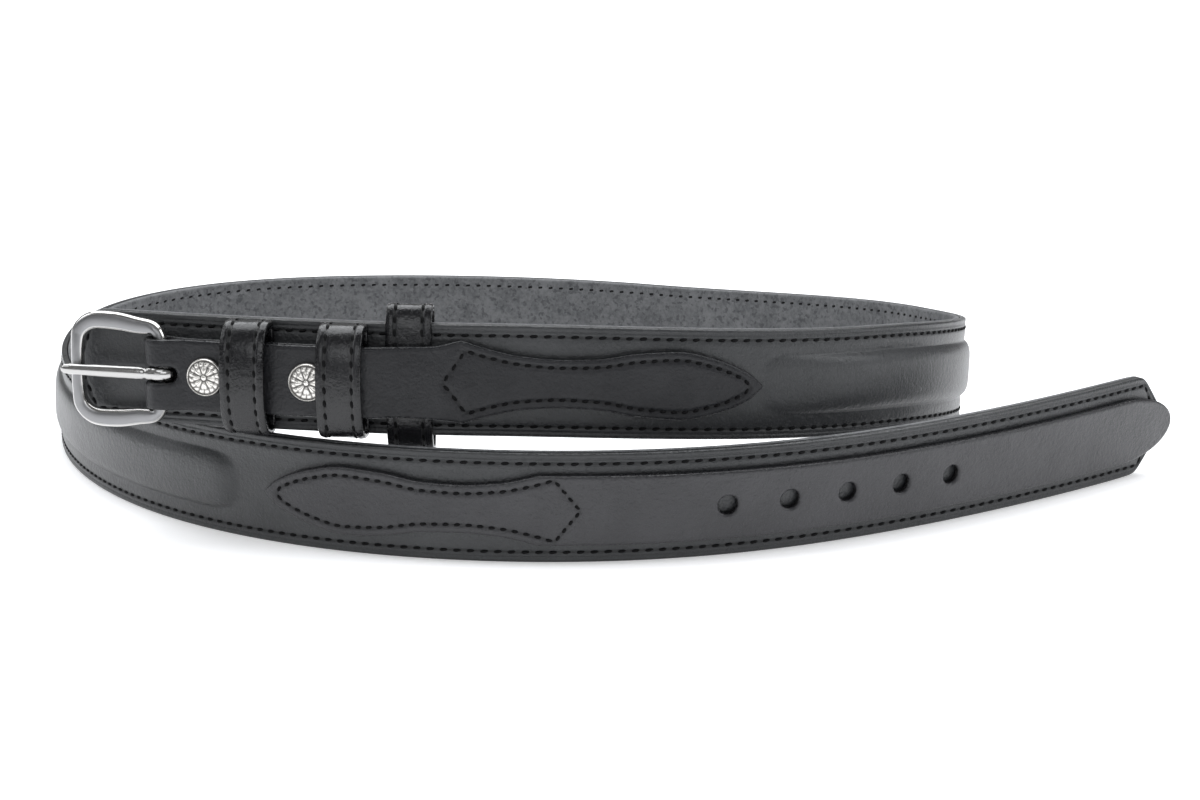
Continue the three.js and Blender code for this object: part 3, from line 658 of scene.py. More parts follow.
def outer_strap():
    """Outer leather: pad height is a rounded hump over the half-width, dying away in an arc at either end,
    with hollows at the pad's foot, along the stitching and along the edge crease."""
    places, inset = strap_rows(OUTER_ROW_STEP)
    reach = MIDDLE - OUTER_EDGE_RADIUS
    seam = MIDDLE - STRAP_STITCH_INSET
    foot = PAD_WIDTH / 2
    fine = [seam + step for step in (-1.2, -0.7, -0.35, 0, 0.35, 0.7, 1.1, 1.45, 1.7, 1.95, 2.3)]
    rise = [foot + step for step in (-3.5, -2.4, -1.6, -1, -0.5, 0, 0.5, 1, 1.6, 2.6)]
    side = np.unique(np.round(np.concatenate([[2, 4, 6], rise, fine]), 3))
    side = np.append(side[side < reach - 0.15], reach)
    columns = np.concatenate([-side[::-1], [0], side])
    back = FACE - OUTER_LEATHER
    across, out, front, _ = section(
        strap_half(places), back, FACE, OUTER_EDGE_RADIUS, SEAM_RADIUS, columns)
    along = places[:, None]
    start = LEAF_TIP + PAD_AFTER_BUCKLE_LEAF
    end = TIP_LEAF - PAD_BEFORE_TIP_LEAF
    inside = np.clip(np.minimum(along - start, end - along) / PAD_RUN_OUT, 0, 1)
    power = PAD_CORNER_POWER
    radial = (np.abs(across / foot) ** power + (1 - inside) ** power) ** (1 / power)
    rising = PAD_START_SHARE + (1 - PAD_START_SHARE) * smooth_share(along, start, start + PAD_EASE)
    dome = np.clip(1 - np.clip(radial, 0, 1) ** PAD_FLATNESS_POWER, 0, 1)
    hump = dome ** PAD_SHOULDER_POWER * rising
    foot_line = groove((radial - PAD_FOOT_SHARE) * foot, PAD_FOOT_DEPTH, PAD_FOOT_WIDTH)
    foot_hollow = foot_line * (inside > 0) * rising
    sewing = distance_to_path(along + 0 * across, across, strap_stitch_path())
    from_edge = strap_half(along) - np.abs(across)
    relief = (
        PAD_HEIGHT * hump
        + foot_hollow
        + groove(sewing, STITCH_GROOVE_DEPTH, STITCH_GROOVE_WIDTH)
        + groove(from_edge - CREASE_INSET, CREASE_DEPTH, CREASE_WIDTH)
    )
    # Painted shade in the stitch groove and, weaker, in the edge crease; the edge band is burnished, with
    # painted shade along it
    marks = {
        "edge": edge_mark(from_edge, OUTER_EDGE_DARK_BAND),
        "shade": front * np.maximum(
            hollow_shade(sewing), CREASE_SHADE * hollow_shade(from_edge - CREASE_INSET)),
    }
    closed_strap("outer_leather", across, out + relief * front, places, inset, back, FACE, marks,
                 strap_black, "strap_outer")


def lining_strap():
    """Lining: flat, with a hollow along its stitching."""
    places, inset = strap_rows(LINING_ROW_STEP)
    high = LINING_LEATHER - FACE
    columns = np.linspace(-1, 1, 9) * (MIDDLE - SEAM_RADIUS)
    across, out, _, back = section(strap_half(places), -FACE, high, SEAM_RADIUS, LINING_EDGE_RADIUS, columns)
    marks = {"edge": edge_mark(strap_half(places)[:, None] - np.abs(across), LINING_EDGE_WEAR)}
    closed_strap("lining", across, out, places, inset, -FACE, high, marks,
                 lining_black, "strap_lining")


ornament_places = np.array(ORNAMENT_ALONG) * OVERLAY_LENGTH
ornament_halves = np.array(ORNAMENT_HALF) * BILLET_WIDTH / 2
leaf_curve = curve_through(ornament_places[:KITE_ROW + 1], ornament_halves[:KITE_ROW + 1])
kite_curve = curve_through(ornament_places[KITE_ROW:], ornament_halves[KITE_ROW:])


def ornament_half(from_tip):
    """Half-width of an ornamental end: leaf, waist and flare up to the kite corner, then the plain strap."""
    return np.where(from_tip < OVERLAY_LENGTH, leaf_curve(from_tip), kite_curve(from_tip))


def ornament_stitch_path():
    """Sewing of an ornamental end, from its leaf tip: inset from the edge, then a point past the corners."""
    from_tip = np.linspace(LEAF_STITCH_START, OVERLAY_LENGTH - 1.5, 60)
    slope = np.gradient(leaf_curve(from_tip), from_tip)
    half = leaf_curve(from_tip) - OVERLAY_STITCH_INSET * np.sqrt(1 + slope ** 2)
    half = np.maximum(half, 0)
    half[0] = 0
    upper = list(zip(from_tip, half))
    lower = [(x, -y) for x, y in upper[::-1]]
    return upper + [(OVERLAY_LENGTH + KITE_STITCH_POINT, 0)] + lower


# Rows of a billet's leaf, closer together towards its point, and steps in from a rounded edge, in shares
# of its radius
LEAF_ROWS = [0, 0.1, 0.35, 0.85, 1.5, 2.2]
EDGE_STEPS = np.array([0, 0.1, 0.35, 1])


def slab(name, rows, half_at, to_space, holes, sewing, material, node):
    """Strap of even thickness as two sheets and a rim. The sheets curve down to the rim over the edge radius,
    and round each hole a patch of rings runs from its edge out to the grid. A hole is given by its middle
    along the rows, half the length of its straight part and its radius."""
    radius = BILLET_EDGE_RADIUS
    thick = BILLET_LEATHER / 2
    half = half_at(rows)
    slant = np.sqrt(1 + np.gradient(half, rows) ** 2)
    steps = EDGE_STEPS * radius
    seam = OVERLAY_STITCH_INSET
    inner = np.array([1.6, seam - 0.9, seam - 0.45, seam, seam + 0.45, seam + 0.9, seam + 1.7])
    insets = np.concatenate([steps, inner])
    side = np.maximum(half[:, None] - insets * slant[:, None], 0)
    core_reach = np.maximum(half - (insets[-1] + 0.1) * slant, 0)
    core = core_reach[:, None] * np.linspace(-1, 1, 17)[1:-1]
    u = np.concatenate([-side, core, side[:, ::-1]], 1)
    v = rows[:, None] + 0 * u
    from_side = (half[:, None] - np.abs(u)) / slant[:, None]
    from_edge = np.minimum(from_side, np.minimum(v - rows[0], rows[-1] - v))

    def drop(distance):
        near = np.clip(radius - distance, 0, radius)
        return radius - np.sqrt(radius ** 2 - near ** 2)

    def both_sheets(v, u, distance, dish=0):
        relief = groove(distance_to_path(v, u, sewing), STITCH_GROOVE_DEPTH, STITCH_GROOVE_WIDTH) - dish
        front = to_space(v, u, thick - drop(distance) + relief)
        back = to_space(v, u, drop(distance) - thick)
        return front, back

    front, back = both_sheets(v, u, from_edge)
    keep = np.ones((len(rows) - 1, u.shape[1] - 1), bool)
    parts = []
    edges = []
    shades = []
    for middle, straight, hole in holes:
        dish_width = radius + 0.5
        reach = hole + dish_width
        i0 = np.searchsorted(rows, middle - straight - reach) - 1
        i1 = np.searchsorted(rows, middle + straight + reach) + 1
        columns_in = u[i0]
        j0 = np.searchsorted(columns_in, -reach) - 1
        j1 = np.searchsorted(columns_in, reach) + 1
        keep[i0:i1, j0:j1] = False
        ring = ([(i0, j) for j in range(j0, j1)] + [(i, j1) for i in range(i0, i1)]
                + [(i1, j) for j in range(j1, j0, -1)] + [(i, j0) for i in range(i1, i0, -1)])
        at = tuple(np.array(ring).T)
        middle_v = np.clip(v[at] - middle, -straight, straight) + middle
        away = np.stack([v[at] - middle_v, u[at]])
        length = np.hypot(*away)
        away = away / length
        lengths = length - hole
        near = np.broadcast_to(steps, (len(ring), len(steps)))
        far = radius + (lengths[:, None] - radius) * np.array([0.3, 0.65, 1])
        out = np.concatenate([near, far], 1)
        patch_v = middle_v[:, None] + away[0][:, None] * (hole + out)
        patch_u = away[1][:, None] * (hole + out)
        dish = HOLE_DISH * np.clip(1 - out / dish_width, 0, 1) ** 2
        patch_front, patch_back = both_sheets(patch_v, patch_u, out, dish)
        size = (len(ring), out.shape[1])
        parts.append((patch_front, grid_faces(*size, wrap_rows=True)))
        parts.append((patch_back, grid_faces(*size, wrap_rows=True)))
        rim = np.stack([patch_front[:, 0], patch_back[:, 0]], 1)
        parts.append((rim, grid_faces(len(ring), 2, wrap_rows=True)))
        # Round the hole: its edge band burnished with painted shade along it, and its wall black with painted
        # shade
        edges += [edge_mark(out, radius)] * 2 + [np.ones((len(ring), 2))]
        shades += [np.zeros(size)] * 2 + [np.ones((len(ring), 2))]
    kept = grid_faces(*u.shape)[keep.ravel()]
    around = np.concatenate([
        np.arange(u.shape[1]),
        np.arange(1, u.shape[0]) * u.shape[1] + u.shape[1] - 1,
        (u.shape[0] - 1) * u.shape[1] + np.arange(u.shape[1] - 2, -1, -1),
        np.arange(u.shape[0] - 2, 0, -1) * u.shape[1]])
    rim = np.stack([front.reshape(-1, 3)[around], back.reshape(-1, 3)[around]], 1)
    parts += [(front, kept), (back, kept), (rim, grid_faces(len(around), 2, wrap_rows=True))]
    # The billet's edge band, burnished with painted shade along it, and painted shade along the sewing groove
    edges += [edge_mark(from_edge, BILLET_EDGE_DARK_BAND)] * 2 + [np.ones((len(around), 2))]
    sewn = hollow_shade(distance_to_path(v, u, sewing))
    shades += [sewn, 0 * sewn, np.zeros((len(around), 2))]
    points, faces = joined(parts)
    marks = {key: np.concatenate([mark.ravel() for mark in group]) for key, group in (
        ("edge", edges), ("shade", shades))}
    piece = make_piece(name, points, faces, material, marks=marks)
    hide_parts(node)


def tip_billet():
    """Tip billet: the ornamental end, then a plain strap with a row of holes and a round tip."""
    length = TIP_END - TIP_LEAF
    tip_ease = TIP_ROUNDING * (1 - np.sin(np.linspace(0, math.pi / 2, 26)))
    plain_rows = np.arange(3, length - TIP_ROUNDING, BILLET_ROW_STEP)
    rows = np.concatenate([LEAF_ROWS, plain_rows, length - tip_ease[:-1], [length]])

    def half_at(from_leaf):
        from_end = np.clip((length - from_leaf) / TIP_ROUNDING, 0, 1)
        rounded = BILLET_WIDTH / 2 * np.sqrt(1 - (1 - from_end) ** 2)
        least = POINT_BLUNTNESS * BILLET_WIDTH / 2
        return np.maximum(np.minimum(ornament_half(from_leaf), rounded), least)

    def to_space(v, u, w):
        return place(TIP_LEAF + v, MIDDLE + u, SEWN_OUT + w)

    first = length - MIDDLE_HOLE_FROM_TIP - (HOLE_COUNT - 1) / 2 * HOLE_SPACING
    holes = [(first + i * HOLE_SPACING, 0.0, HOLE_DIAMETER / 2) for i in range(HOLE_COUNT)]
    sewing = ornament_stitch_path()
    slab("tip_billet", rows, half_at, to_space, holes, sewing, tip_black, "billet_tip")
    sew("tip_billet_stitches", sewing, OVERLAY_STITCH_PITCH, to_space, BILLET_LEATHER / 2)


def front_out(along):
    """Height of the folded billet's front layer: sewn down, over the strap keeper, over the return and
    out to the fold."""
    over_keeper = 1 - smooth_share(along, STRAP_KEEPER + KEEPER_WIDTH / 2 + GAP, KITE_CORNER)
    over_return = 1 - smooth_share(along, RETURN_END + GAP, STRAP_KEEPER)
    to_fold = 1 - smooth_share(along, BAR_FROM_END, FIRST_STUD - STUD_DIAMETER / 2)
    return (SEWN_OUT + (RETURN_OUT - SEWN_OUT) * over_keeper + (FRONT_OUT - RETURN_OUT) * over_return
            + (BAR_OUT + FOLD_RADIUS - FRONT_OUT) * to_fold)


def return_out(along):
    """Height of the layer that runs back behind the front one."""
    to_fold = 1 - smooth_share(along, BAR_FROM_END, FIRST_STUD - STUD_DIAMETER / 2)
    return RETURN_OUT + (BAR_OUT - FOLD_RADIUS - RETURN_OUT) * to_fold


def buckle_billet():
    """Buckle billet: its middle line runs from the leaf tip to the heel bar, half way round it and back."""
    front_s = np.arange(LEAF_TIP, BAR_FROM_END, -LINE_STEP)
    turn = np.linspace(math.pi / 2, 3 * math.pi / 2, 31)
    back_s = np.arange(BAR_FROM_END + LINE_STEP, RETURN_END, LINE_STEP)
    line_s = np.concatenate([front_s, BAR_FROM_END + FOLD_RADIUS * np.cos(turn), back_s, [RETURN_END]])
    line_out = np.concatenate([
        front_out(front_s), BAR_OUT + FOLD_RADIUS * np.sin(turn), return_out(back_s), [RETURN_OUT]])
    line_v = np.concatenate([[0], np.cumsum(np.hypot(np.diff(line_s), np.diff(line_out)))])
    ahead_s = np.gradient(line_s, line_v)
    ahead_out = np.gradient(line_out, line_v)
    fold_from = line_v[len(front_s)]
    fold_to = line_v[len(front_s) + len(turn) - 1]
    length = line_v[-1]

    def half_at(v):
        along = np.interp(v, line_v, line_s)
        return np.where(v < fold_from, ornament_half(LEAF_TIP - along), BILLET_WIDTH / 2)

    def to_space(v, u, w):
        s = np.interp(v, line_v, line_s) + np.interp(v, line_v, ahead_out) * w
        out = np.interp(v, line_v, line_out) - np.interp(v, line_v, ahead_s) * w
        return place(s, MIDDLE + u, out)

    fold_rows = np.arange(fold_from - 16, fold_to + 16, BILLET_FOLD_ROW_STEP)
    front_rows = np.arange(3, fold_rows[0] - 0.5, BILLET_ROW_STEP)
    back_rows = np.arange(fold_rows[-1] + 0.8, length - BILLET_BACK_ROW_STEP, BILLET_BACK_ROW_STEP)
    end_rows = length - np.array([0.85, 0.35, 0.1, 0])
    rows = np.concatenate([LEAF_ROWS, front_rows, fold_rows, back_rows, end_rows])
    slot_half = (PRONG_WIDTH + PRONG_SLOT_PLAY) / 2
    straight = (fold_to - fold_from) / 2 + EYE_OUTER - PRONG_SLOT_PLAY / 2
    holes = [((fold_from + fold_to) / 2, straight, slot_half)]
    sewing = ornament_stitch_path()
    slab("buckle_billet", rows, half_at, to_space, holes, sewing, buckle_black,
         "billet_buckle")
    sew("buckle_billet_stitches", sewing, OVERLAY_STITCH_PITCH, to_space, BILLET_LEATHER / 2)


def stitch_shape():
    """Unit stitch: an arched capsule, as shares of half-length, half-width and height, with its faces."""
    ring = np.linspace(0, 2 * math.pi, 8, endpoint=False)
    lengthwise = np.array([-1, -0.86, -0.45, 0, 0.45, 0.86, 1])
    girth = np.array([0, 0.62, 0.95, 1, 0.95, 0.62, 0])
    x = lengthwise[:, None] + 0 * ring
    y = girth[:, None] * np.cos(ring)
    z = girth[:, None] * np.sin(ring) - 1.1 * lengthwise[:, None] ** 4
    return np.stack([x, y, z], -1).reshape(-1, 3), grid_faces(len(lengthwise), len(ring), wrap_columns=True)


def sew_line(points, normals, pitch):
    """Stitches along a line on a surface: one for each pitch, pointing ahead and turned a little aside."""
    steps = np.linalg.norm(np.diff(points, axis=0), axis=1)
    run = np.concatenate([[0], np.cumsum(steps)])
    count = max(int(round(run[-1] / (pitch * MM))), 1)
    middles = (np.arange(count) + 0.5) * run[-1] / count
    reach = 0.5 * STITCH_COVER * run[-1] / count

    def along_line(values, at):
        return np.stack([np.interp(at, run, values[:, k]) for k in range(3)], -1)

    centre = along_line(points, middles)
    ahead = along_line(points, middles + reach) - along_line(points, middles - reach)
    ahead /= np.linalg.norm(ahead, axis=1, keepdims=True)
    up = along_line(normals, middles)
    up -= ahead * (up * ahead).sum(1, keepdims=True)
    up /= np.linalg.norm(up, axis=1, keepdims=True)
    side = np.cross(up, ahead)
    slant = math.radians(STITCH_SLANT)
    turned = ahead * math.cos(slant) + side * math.sin(slant)
    across = side * math.cos(slant) - ahead * math.sin(slant)
    shape, faces = stitch_shape()
    half = THREAD_WIDTH / 2 * MM
    solid = (
        centre[:, None]
        + turned[:, None] * (shape[:, 0] * reach)[None, :, None]
        + across[:, None] * (shape[:, 1] * half)[None, :, None]
        + up[:, None] * (shape[:, 2] * half * THREAD_HEIGHT_SHARE)[None, :, None]
    )
    numbers = faces[None] + (np.arange(count) * len(shape))[:, None, None]
    return solid.reshape(-1, 3), numbers.reshape(-1, 4)


def dense(path):
    """Closely spaced points along the straight pieces of a path."""
    pieces = []
    for (ax, ay), (bx, by) in zip(path[:-1], path[1:]):
        count = max(int(math.hypot(bx - ax, by - ay) / SEWING_LINE_STEP), 1)
        t = np.arange(count) / count
        pieces.append(np.stack([ax + (bx - ax) * t, ay + (by - ay) * t], -1))
    pieces.append(np.array([path[-1]]))
    return np.concatenate(pieces)


def corner_runs(path):
    """Splits a path at its sharp corners, so that a stitch ends at each."""
    path = np.asarray(path, float)
    ahead = np.arctan2(*np.diff(path, axis=0).T[::-1])
    bend = np.abs((np.diff(ahead) + math.pi) % (2 * math.pi) - math.pi)
    cuts = [0] + [i + 1 for i in np.nonzero(bend > math.radians(SHARP_CORNER))[0]] + [len(path) - 1]
    return [path[a:b + 1] for a, b in zip(cuts[:-1], cuts[1:]) if b > a]


def sew(name, path, pitch, to_space, height):
    """Stitches in the groove along a path, each run between sharp corners by itself. The path and a height
    are carried to the frame by to_space, and the stitches lie a little below the height."""
    lines = []
    side = math.copysign(1, height)
    for run in corner_runs(path):
        line = dense(run)
        points = to_space(line[:, 0], line[:, 1], height - side * STITCH_SINK)
        above = to_space(line[:, 0], line[:, 1], height + side)
        lines.append(sew_line(points, above - points, pitch))
    points, faces = joined(lines)
    make_piece(name, points, faces, thread_black)


def strap_stitches():
    """The strap's two rows of sewing and their ends, seen on the outer leather and on the lining."""
    def to_space(along, across, out):
        return place(along, MIDDLE + across, out)

    sew("strap_stitches", strap_stitch_path(), STRAP_STITCH_PITCH, to_space, FACE)
    sew("lining_stitches", strap_stitch_path(), STRAP_STITCH_PITCH, to_space, -FACE)


def keeper(name, node, along, height, seat_out, front, back_square, front_square):
    """Band carried round a loop that is flat behind and bowed in front: a superellipse of one power behind
    and another in front. Its section is a rounded strip with two sewn grooves and a raised band outside
    each of them."""
    middle_out = seat_out + KEEPER_LEATHER + (front - seat_out - 2 * KEEPER_LEATHER) / 4
    angle = np.linspace(0, 2 * math.pi, 144, endpoint=False)[:, None]
    radius = KEEPER_EDGE_RADIUS
    half = KEEPER_WIDTH / 2
    seam = half - KEEPER_STITCH_INSET
    turn = np.linspace(0, math.pi / 2, 5)[1:-1]
    rows = [seam + step for step in (-0.9, -0.45, 0, 0.45, 0.9, 1.4, 1.9)]
    side = np.array([2.0] + rows + [half - radius])
    face = np.concatenate([-side[::-1], [0], side])
    x = np.concatenate([
        face, half - radius + radius * np.sin(turn), [half, half], half - radius + radius * np.cos(turn),
        [half - radius, 0, radius - half], radius - half - radius * np.cos(turn)[::-1], [-half, -half],
        radius - half - radius * np.sin(turn)[::-1]])
    depth = np.concatenate([
        0 * face, radius - radius * np.cos(turn), [radius, KEEPER_LEATHER - radius],
        KEEPER_LEATHER - radius + radius * np.sin(turn), [KEEPER_LEATHER] * 3,
        KEEPER_LEATHER - radius + radius * np.sin(turn)[::-1], [KEEPER_LEATHER - radius, radius],
        radius - radius * np.cos(turn)[::-1]])
    on_face = np.arange(len(x)) < len(face)
    rise_from, rise_to = seam, half - radius
    band = np.clip(1 - ((2 * np.abs(x) - rise_from - rise_to) / (rise_to - rise_from)) ** 2, 0, 1)
    hollow = groove(np.abs(x) - seam, KEEPER_GROOVE_DEPTH, KEEPER_GROOVE_WIDTH)
    depth = depth - on_face * (hollow + KEEPER_BAND_RISE * band)

    def loop(inset):
        forward = np.sin(angle) >= 0
        reach = np.where(forward, front - middle_out, middle_out - seat_out) - inset
        power = 2 / np.where(forward, front_square, back_square)
        rise = squared_off(np.cos(angle), power)
        return (height / 2 - inset) * rise, middle_out + reach * squared_off(np.sin(angle), power)

    across, out = loop(depth[None, :])
    local = np.stack([x + 0 * across, across, out], -1)
    # Painted shade along the sewn grooves, and the edge band: burnished, with painted shade along it
    sewn = on_face * hollow_shade(np.abs(x) - seam)
    marks = {
        "edge": np.broadcast_to(edge_mark(half - np.abs(x), KEEPER_EDGE_DARK_BAND), across.shape),
        "shade": np.broadcast_to(sewn, across.shape),
    }
    faces = grid_faces(*across.shape, wrap_rows=True, wrap_columns=True)
    piece = make_piece(name, seated(local, along, 0), faces, keeper_black, marks=marks)
    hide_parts(node)

    lines = []
    line_across, line_out = loop(np.full((1, 1), KEEPER_STITCH_SINK))
    steps = np.arange(len(angle) + 1) % len(angle)
    line_across = line_across[steps, 0]
    line_out = line_out[steps, 0]
    ahead = np.stack([np.gradient(line_across), np.gradient(line_out)], -1)
    ahead /= np.linalg.norm(ahead, axis=1, keepdims=True)
    for sign in (-1, 1):
        row = sign * seam + 0 * line_out
        points = seated(np.stack([row, line_across, line_out], -1), along, 0)
        above = seated(np.stack([row, line_across + ahead[:, 1], line_out - ahead[:, 0]], -1), along, 0)
        lines.append(sew_line(points, above - points, KEEPER_STITCH_PITCH))
    points, faces = joined(lines)
    make_piece(name + "_stitches", points, faces, thread_black)


def keepers():
    """Two keepers bowed over the folded billet, and one laid close round the whole strap under it."""
    bowed = {
        "height": BILLET_KEEPER_HEIGHT,
        "seat_out": KEEPER_SEAT,
        "front": KEEPER_SEAT + 2 * KEEPER_LEATHER + BILLET_KEEPER_BOW,
        "back_square": 6,
        "front_square": 2.4,
    }
    keeper("near_keeper", "keeper_near_buckle", NEAR_KEEPER, **bowed)
    keeper("middle_keeper", "keeper_middle", MIDDLE_KEEPER, **bowed)
    keeper("strap_keeper", "keeper_strap", STRAP_KEEPER, height=STRAP_KEEPER_HEIGHT,
           seat_out=-KEEPER_SEAT - KEEPER_LEATHER, front=KEEPER_SEAT + KEEPER_LEATHER + STRAP_KEEPER_BOW,
           back_square=4.2, front_square=2.8)


def stud(name, node, along):
    """Lathe-turned head and post. The head's relief adds a beaded rim, eight petals with a hollow down each,
    a ring of small leaves and a middle boss, as products of waves round it and humps out from its middle."""
    head = STUD_DIAMETER / 2
    base = FRONT_FACE + GAP
    turn = np.linspace(0, 2 * math.pi, 192, endpoint=False)
    share = np.concatenate([np.linspace(0, 0.9, 54), np.linspace(0.905, 1, 10)])
    r, a = np.meshgrid(share, turn)
    bell = band_hump(r, 0.16, 0.5, 0.7)
    half_turns = STUD_PETALS / 2
    vein = np.exp(-((np.sin(half_turns * a) / 0.22) ** 2)) * (r > 0.2)
    petals = bell * np.abs(np.cos(half_turns * a)) ** 0.8 * (1 - 0.45 * vein)
    leaves = band_hump(r, 0.56, 0.3, 0.8) * np.abs(np.sin(STUD_PETALS * a + 2.2 * (r - 0.7))) ** 0.6
    boss = np.clip(1 - (r / 0.15) ** 2, 0, 1) ** 0.5
    rim = np.exp(-(((r - 0.93) / 0.035) ** 2))
    relief = np.maximum.reduce([petals, 0.8 * leaves, boss, rim])
    fall = np.clip((r - 0.955) / 0.045, 0, 1)
    rounding = 1 - np.sqrt(np.clip(1 - fall ** 2, 0, 1))
    crown = STUD_RIM + STUD_DOME * (1 - r ** 2) * 0.75 + STUD_RELIEF * relief - rounding * STUD_RIM * 0.55
    back_r = np.array([1, 1, 0.96, POST_SHARE, POST_SHARE, CAP_SHARE, CAP_SHARE, 0])
    cap = KEEPER_SEAT + KEEPER_LEATHER - base
    cap_back = cap - CAP_THICKNESS
    back_z = np.array([STUD_RIM * 0.45, 0.15, 0, 0, cap, cap, cap_back, cap_back])
    radii = np.concatenate([r, np.broadcast_to(back_r, (len(turn), len(back_r)))], 1)
    heights = np.concatenate([crown, np.broadcast_to(back_z, (len(turn), len(back_z)))], 1)
    spokes = radii * head
    local = np.stack([spokes * np.cos(turn)[:, None], spokes * np.sin(turn)[:, None], heights], -1)
    hollow = np.concatenate([1 - relief, np.zeros((len(turn), len(back_r)))], 1)
    faces = grid_faces(*radii.shape, wrap_rows=True)
    piece = make_piece(
        name, seated(local, along, base), faces, nickel_bright, marks={"hollow": hollow})
    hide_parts(node)


def closed_spline(points, count):
    """Even-handed smooth loop through points: cubic pieces whose slopes come from the neighbours' spacing."""
    previous = np.roll(points, 1, 0)
    after = np.roll(points, -1, 0)
    last = np.roll(points, -2, 0)
    d0, d1, d2 = (np.sqrt(np.linalg.norm(b - a, axis=1, keepdims=True)) for a, b in (
        (previous, points), (points, after), (after, last)))
    first = ((points - previous) / d0 - (after - previous) / (d0 + d1) + (after - points) / d1) * d1
    second = ((after - points) / d1 - (last - points) / (d1 + d2) + (last - after) / d2) * d1
    at = np.arange(count) * len(points) / count
    i = at.astype(int)
    t = (at - i)[:, None]
    ends = (1 + 2 * t) * (1 - t) ** 2 * points[i] + t * t * (3 - 2 * t) * after[i]
    return ends + t * (1 - t) ** 2 * first[i] + t * t * (t - 1) * second[i]


def buckle_frame():
    """Rim carried round the frame's middle line: a superellipse section whose corners are the bevels."""
    mirror = slice(-2, 0, -1)
    back = np.array(FRAME_BACK + FRAME_BACK[mirror])
    up = np.array(FRAME_UP + [-value for value in FRAME_UP[mirror]])
    wide = np.array(FRAME_WIDTHS + FRAME_WIDTHS[mirror])
    count = 288
    middle = closed_spline(np.stack([-back * FRAME_REACH, up * FRAME_HEIGHT / 2], -1), count)
    places = np.arange(len(back) + 1)
    at = np.arange(count) * len(back) / count
    rim = curve_through(places, np.append(wide, wide[0]))(at) * FRAME_RIM
    rim = np.maximum(rim, BAR_DIAMETER)
    bar = np.clip((rim / BAR_DIAMETER - 1) * 6, 0, 1)
    thickness = BAR_DIAMETER + (FRAME_THICKNESS - BAR_DIAMETER) * bar
    square = 2 + FRAME_SQUARENESS * bar
    ahead = np.roll(middle, -1, 0) - np.roll(middle, 1, 0)
    ahead /= np.linalg.norm(ahead, axis=1, keepdims=True)
    side = np.stack([ahead[:, 1], -ahead[:, 0]], -1)
    angle = np.linspace(0, 2 * math.pi, 36, endpoint=False)
    power = (2 / square)[:, None]
    across = squared_off(np.cos(angle), power) * (rim / 2)[:, None]
    out = squared_off(np.sin(angle), power) * (thickness / 2)[:, None]
    flat = middle[:, None] + side[:, None] * across[..., None]
    local = np.concatenate([flat, out[..., None]], -1)
    share = np.abs(across) / (rim / 2)[:, None]
    bevel = np.clip((share - FRAME_BEVEL_FROM) / FRAME_BEVEL_WIDTH, 0, 1)
    faces = grid_faces(count, len(angle), wrap_rows=True, wrap_columns=True)
    piece = make_piece("frame_metal", seated(local, BAR_FROM_END, BAR_OUT), faces, nickel_satin,
                       body="frame", marks={"bevel": bevel})
    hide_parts("buckle_frame")


def buckle_prong():
    """Eye carried round the heel bar, and an arm of oval rings from its tail through a neck to its tip."""
    turn = np.linspace(0, 2 * math.pi, 72, endpoint=False)
    ring = np.linspace(0, 2 * math.pi, 20, endpoint=False)
    wall = PRONG_EYE_WALL / 2
    radial = (EYE_INNER + EYE_OUTER) / 2 + wall * squared_off(np.cos(ring), EYE_POWER)
    width = PRONG_WIDTH / 2 * squared_off(np.sin(ring), EYE_POWER)
    eye = np.stack([
        np.cos(turn)[:, None] * radial, width + 0 * turn[:, None], np.sin(turn)[:, None] * radial], -1)
    reach = FRAME_REACH + PRONG_PAST_FRAME
    rest = FRAME_THICKNESS / 2 + GAP + PRONG_THICKNESS / 2
    top = EYE_OUTER - PRONG_THICKNESS / 2
    station = np.array(PRONG_BACK)
    fine = np.unique(np.concatenate([np.linspace(PRONG_BACK[0], PRONG_BACK[-1], 120), station]))
    z = top + (rest - top) * curve_through(station, PRONG_HEIGHTS)(fine)
    half_wide = np.interp(fine, station, PRONG_WIDTHS) * PRONG_WIDTH / 2
    half_thick = np.interp(fine, station, PRONG_THICKNESSES) * PRONG_THICKNESS / 2
    angle = np.linspace(0, 2 * math.pi, 24, endpoint=False)
    arm = np.stack([
        -fine[:, None] * reach + 0 * angle,
        half_wide[:, None] * np.cos(angle),
        z[:, None] + half_thick[:, None] * np.sin(angle)], -1)
    points, faces = joined([
        (eye, grid_faces(len(turn), len(ring), wrap_rows=True, wrap_columns=True)),
        (arm, grid_faces(len(fine), len(angle), wrap_columns=True))])
    piece = make_piece("prong_metal", seated(points, BAR_FROM_END, BAR_OUT), faces, nickel_satin,
                       body="prong", marks={"bevel": np.full(len(points), PRONG_POLISH)})
    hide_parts("buckle_prong")


# Floor: the nearest line of its white paper, just outside the bottom of the picture, the way over which it
# fades into dark floor nearer the camera (painted shade), its glow (painted light) and the floor's half-width.
# Lengths from here on are in metres
PAPER_EDGE = -0.395
PAPER_FADE = 0.16
PAPER_GLOW = 0.42
FLOOR_REACH = 8.0

# Soft lights: watts, size, place and the point they face
BELT_MIDDLE = (0, 0, 0.04)
LIGHTS = {
    "overhead": (92, (3.0, 2.6), (0.0, 0.7, 1.9), (0, 0.35, 0)),
    "left": (7.5, (1.0, 1.0), (-1.7, -0.2, 1.0), BELT_MIDDLE),
    "right": (10.5, (1.0, 1.0), (1.65, -0.4, 0.9), BELT_MIDDLE),
    "front": (6, (1.7, 0.5), (-0.2, -1.7, 0.62), BELT_MIDDLE),
}
LIGHT_COLOUR = (0.955, 0.975, 1.0)
WORLD_STRENGTH = 0.2

# Camera, as read from the photograph
CAMERA_AT = (0.00073, -1.05723, 0.26460)
CAMERA_PITCH = 0.21006
CAMERA_LENS = 84.49
CAMERA_SENSOR = 36
CAMERA_SHIFT = -0.04296


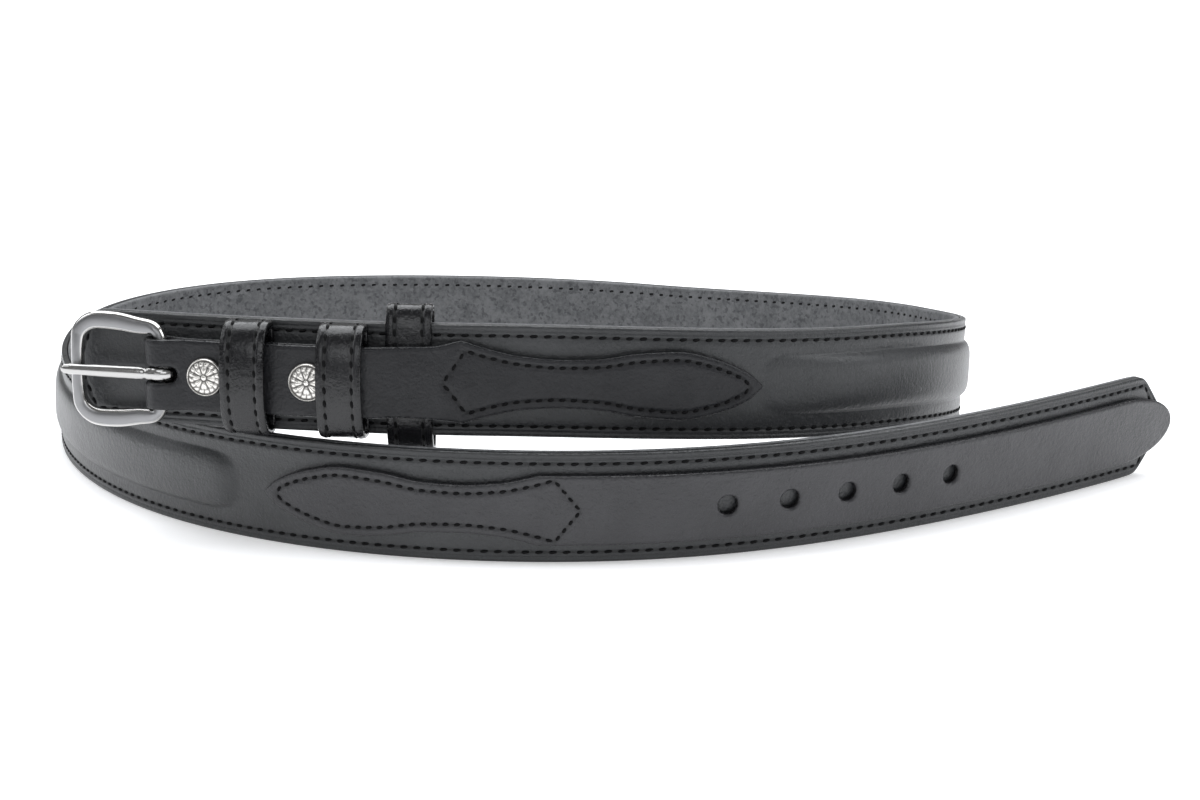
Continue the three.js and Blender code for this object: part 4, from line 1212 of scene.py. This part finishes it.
def floor():
    """Sheet of white paper over all that the view shows, glowing as painted light, which fades into dark floor
    short of the camera as painted shade.
    """
    finish = Finish("glowing_paper_on_dark_floor")
    toward_belt = finish.add("ShaderNodeSeparateXYZ", None, {"Vector": finish.place}, output="Y")
    paper = toward_belt.between(PAPER_EDGE - PAPER_FADE, PAPER_EDGE)
    # Dark floor nearer the camera: painted shade for the dark camera side that the leather reflects
    dark_floor_near_camera, white_paper = (0.03, 0.03, 0.032, 1), (0.88, 0.88, 0.885, 1)
    colour = finish.blend(paper, dark_floor_near_camera, white_paper)
    # The paper glows: painted light, washing out the belt's shadow and lighting its undersides
    material = finish.surface(
        Base_Color=colour, Roughness=0.6, Emission_Color=colour, Emission_Strength=PAPER_GLOW)
    mesh = bpy.data.meshes.new("floor")
    corners = [(FLOOR_REACH * x, FLOOR_REACH * y, 0) for x, y in ((-1, -1), (1, -1), (1, 1), (-1, 1))]
    mesh.from_pydata(corners, [], [(0, 1, 2, 3)])
    mesh.materials.append(material)
    plane = bpy.data.objects.new("floor", mesh)
    bpy.context.scene.collection.objects.link(plane)


def soft_light(name, power, size, at, towards):
    """Rectangular soft light at a point, facing another."""
    lamp = bpy.data.lights.new(name, "AREA")
    lamp.energy = power
    lamp.color = LIGHT_COLOUR
    lamp.shape = "RECTANGLE"
    lamp.size, lamp.size_y = size
    holder = bpy.data.objects.new(name, lamp)
    holder.location = at
    holder.rotation_euler = (Vector(towards) - Vector(at)).to_track_quat("-Z", "Y").to_euler()
    bpy.context.scene.collection.objects.link(holder)


def lights():
    """Soft lights all round the belt, in an evenly white room."""
    for name, (power, size, at, towards) in LIGHTS.items():
        soft_light(name, power, size, at, towards)
    world = bpy.data.worlds.new("studio")
    world.use_nodes = True
    background = world.node_tree.nodes["Background"]
    background.inputs["Color"].default_value = (1, 1, 1, 1)
    background.inputs["Strength"].default_value = WORLD_STRENGTH
    bpy.context.scene.world = world


def camera():
    """Level camera that looks along +Y and down by its pitch."""
    data = bpy.data.cameras.new("camera")
    data.sensor_width = CAMERA_SENSOR
    data.lens = CAMERA_LENS
    data.shift_y = CAMERA_SHIFT
    holder = bpy.data.objects.new("camera", data)
    holder.location = CAMERA_AT
    holder.rotation_euler = (math.pi / 2 - CAMERA_PITCH, 0, 0)
    bpy.context.scene.collection.objects.link(holder)
    bpy.context.scene.camera = holder


camera()
floor()
lights()
bpy.context.scene.view_settings.view_transform = "Standard"
outer_strap()
lining_strap()
strap_stitches()
buckle_billet()
tip_billet()
keepers()
stud("near_stud", "stud_1", FIRST_STUD)
stud("far_stud", "stud_2", LAST_STUD)
buckle_frame()
buckle_prong()
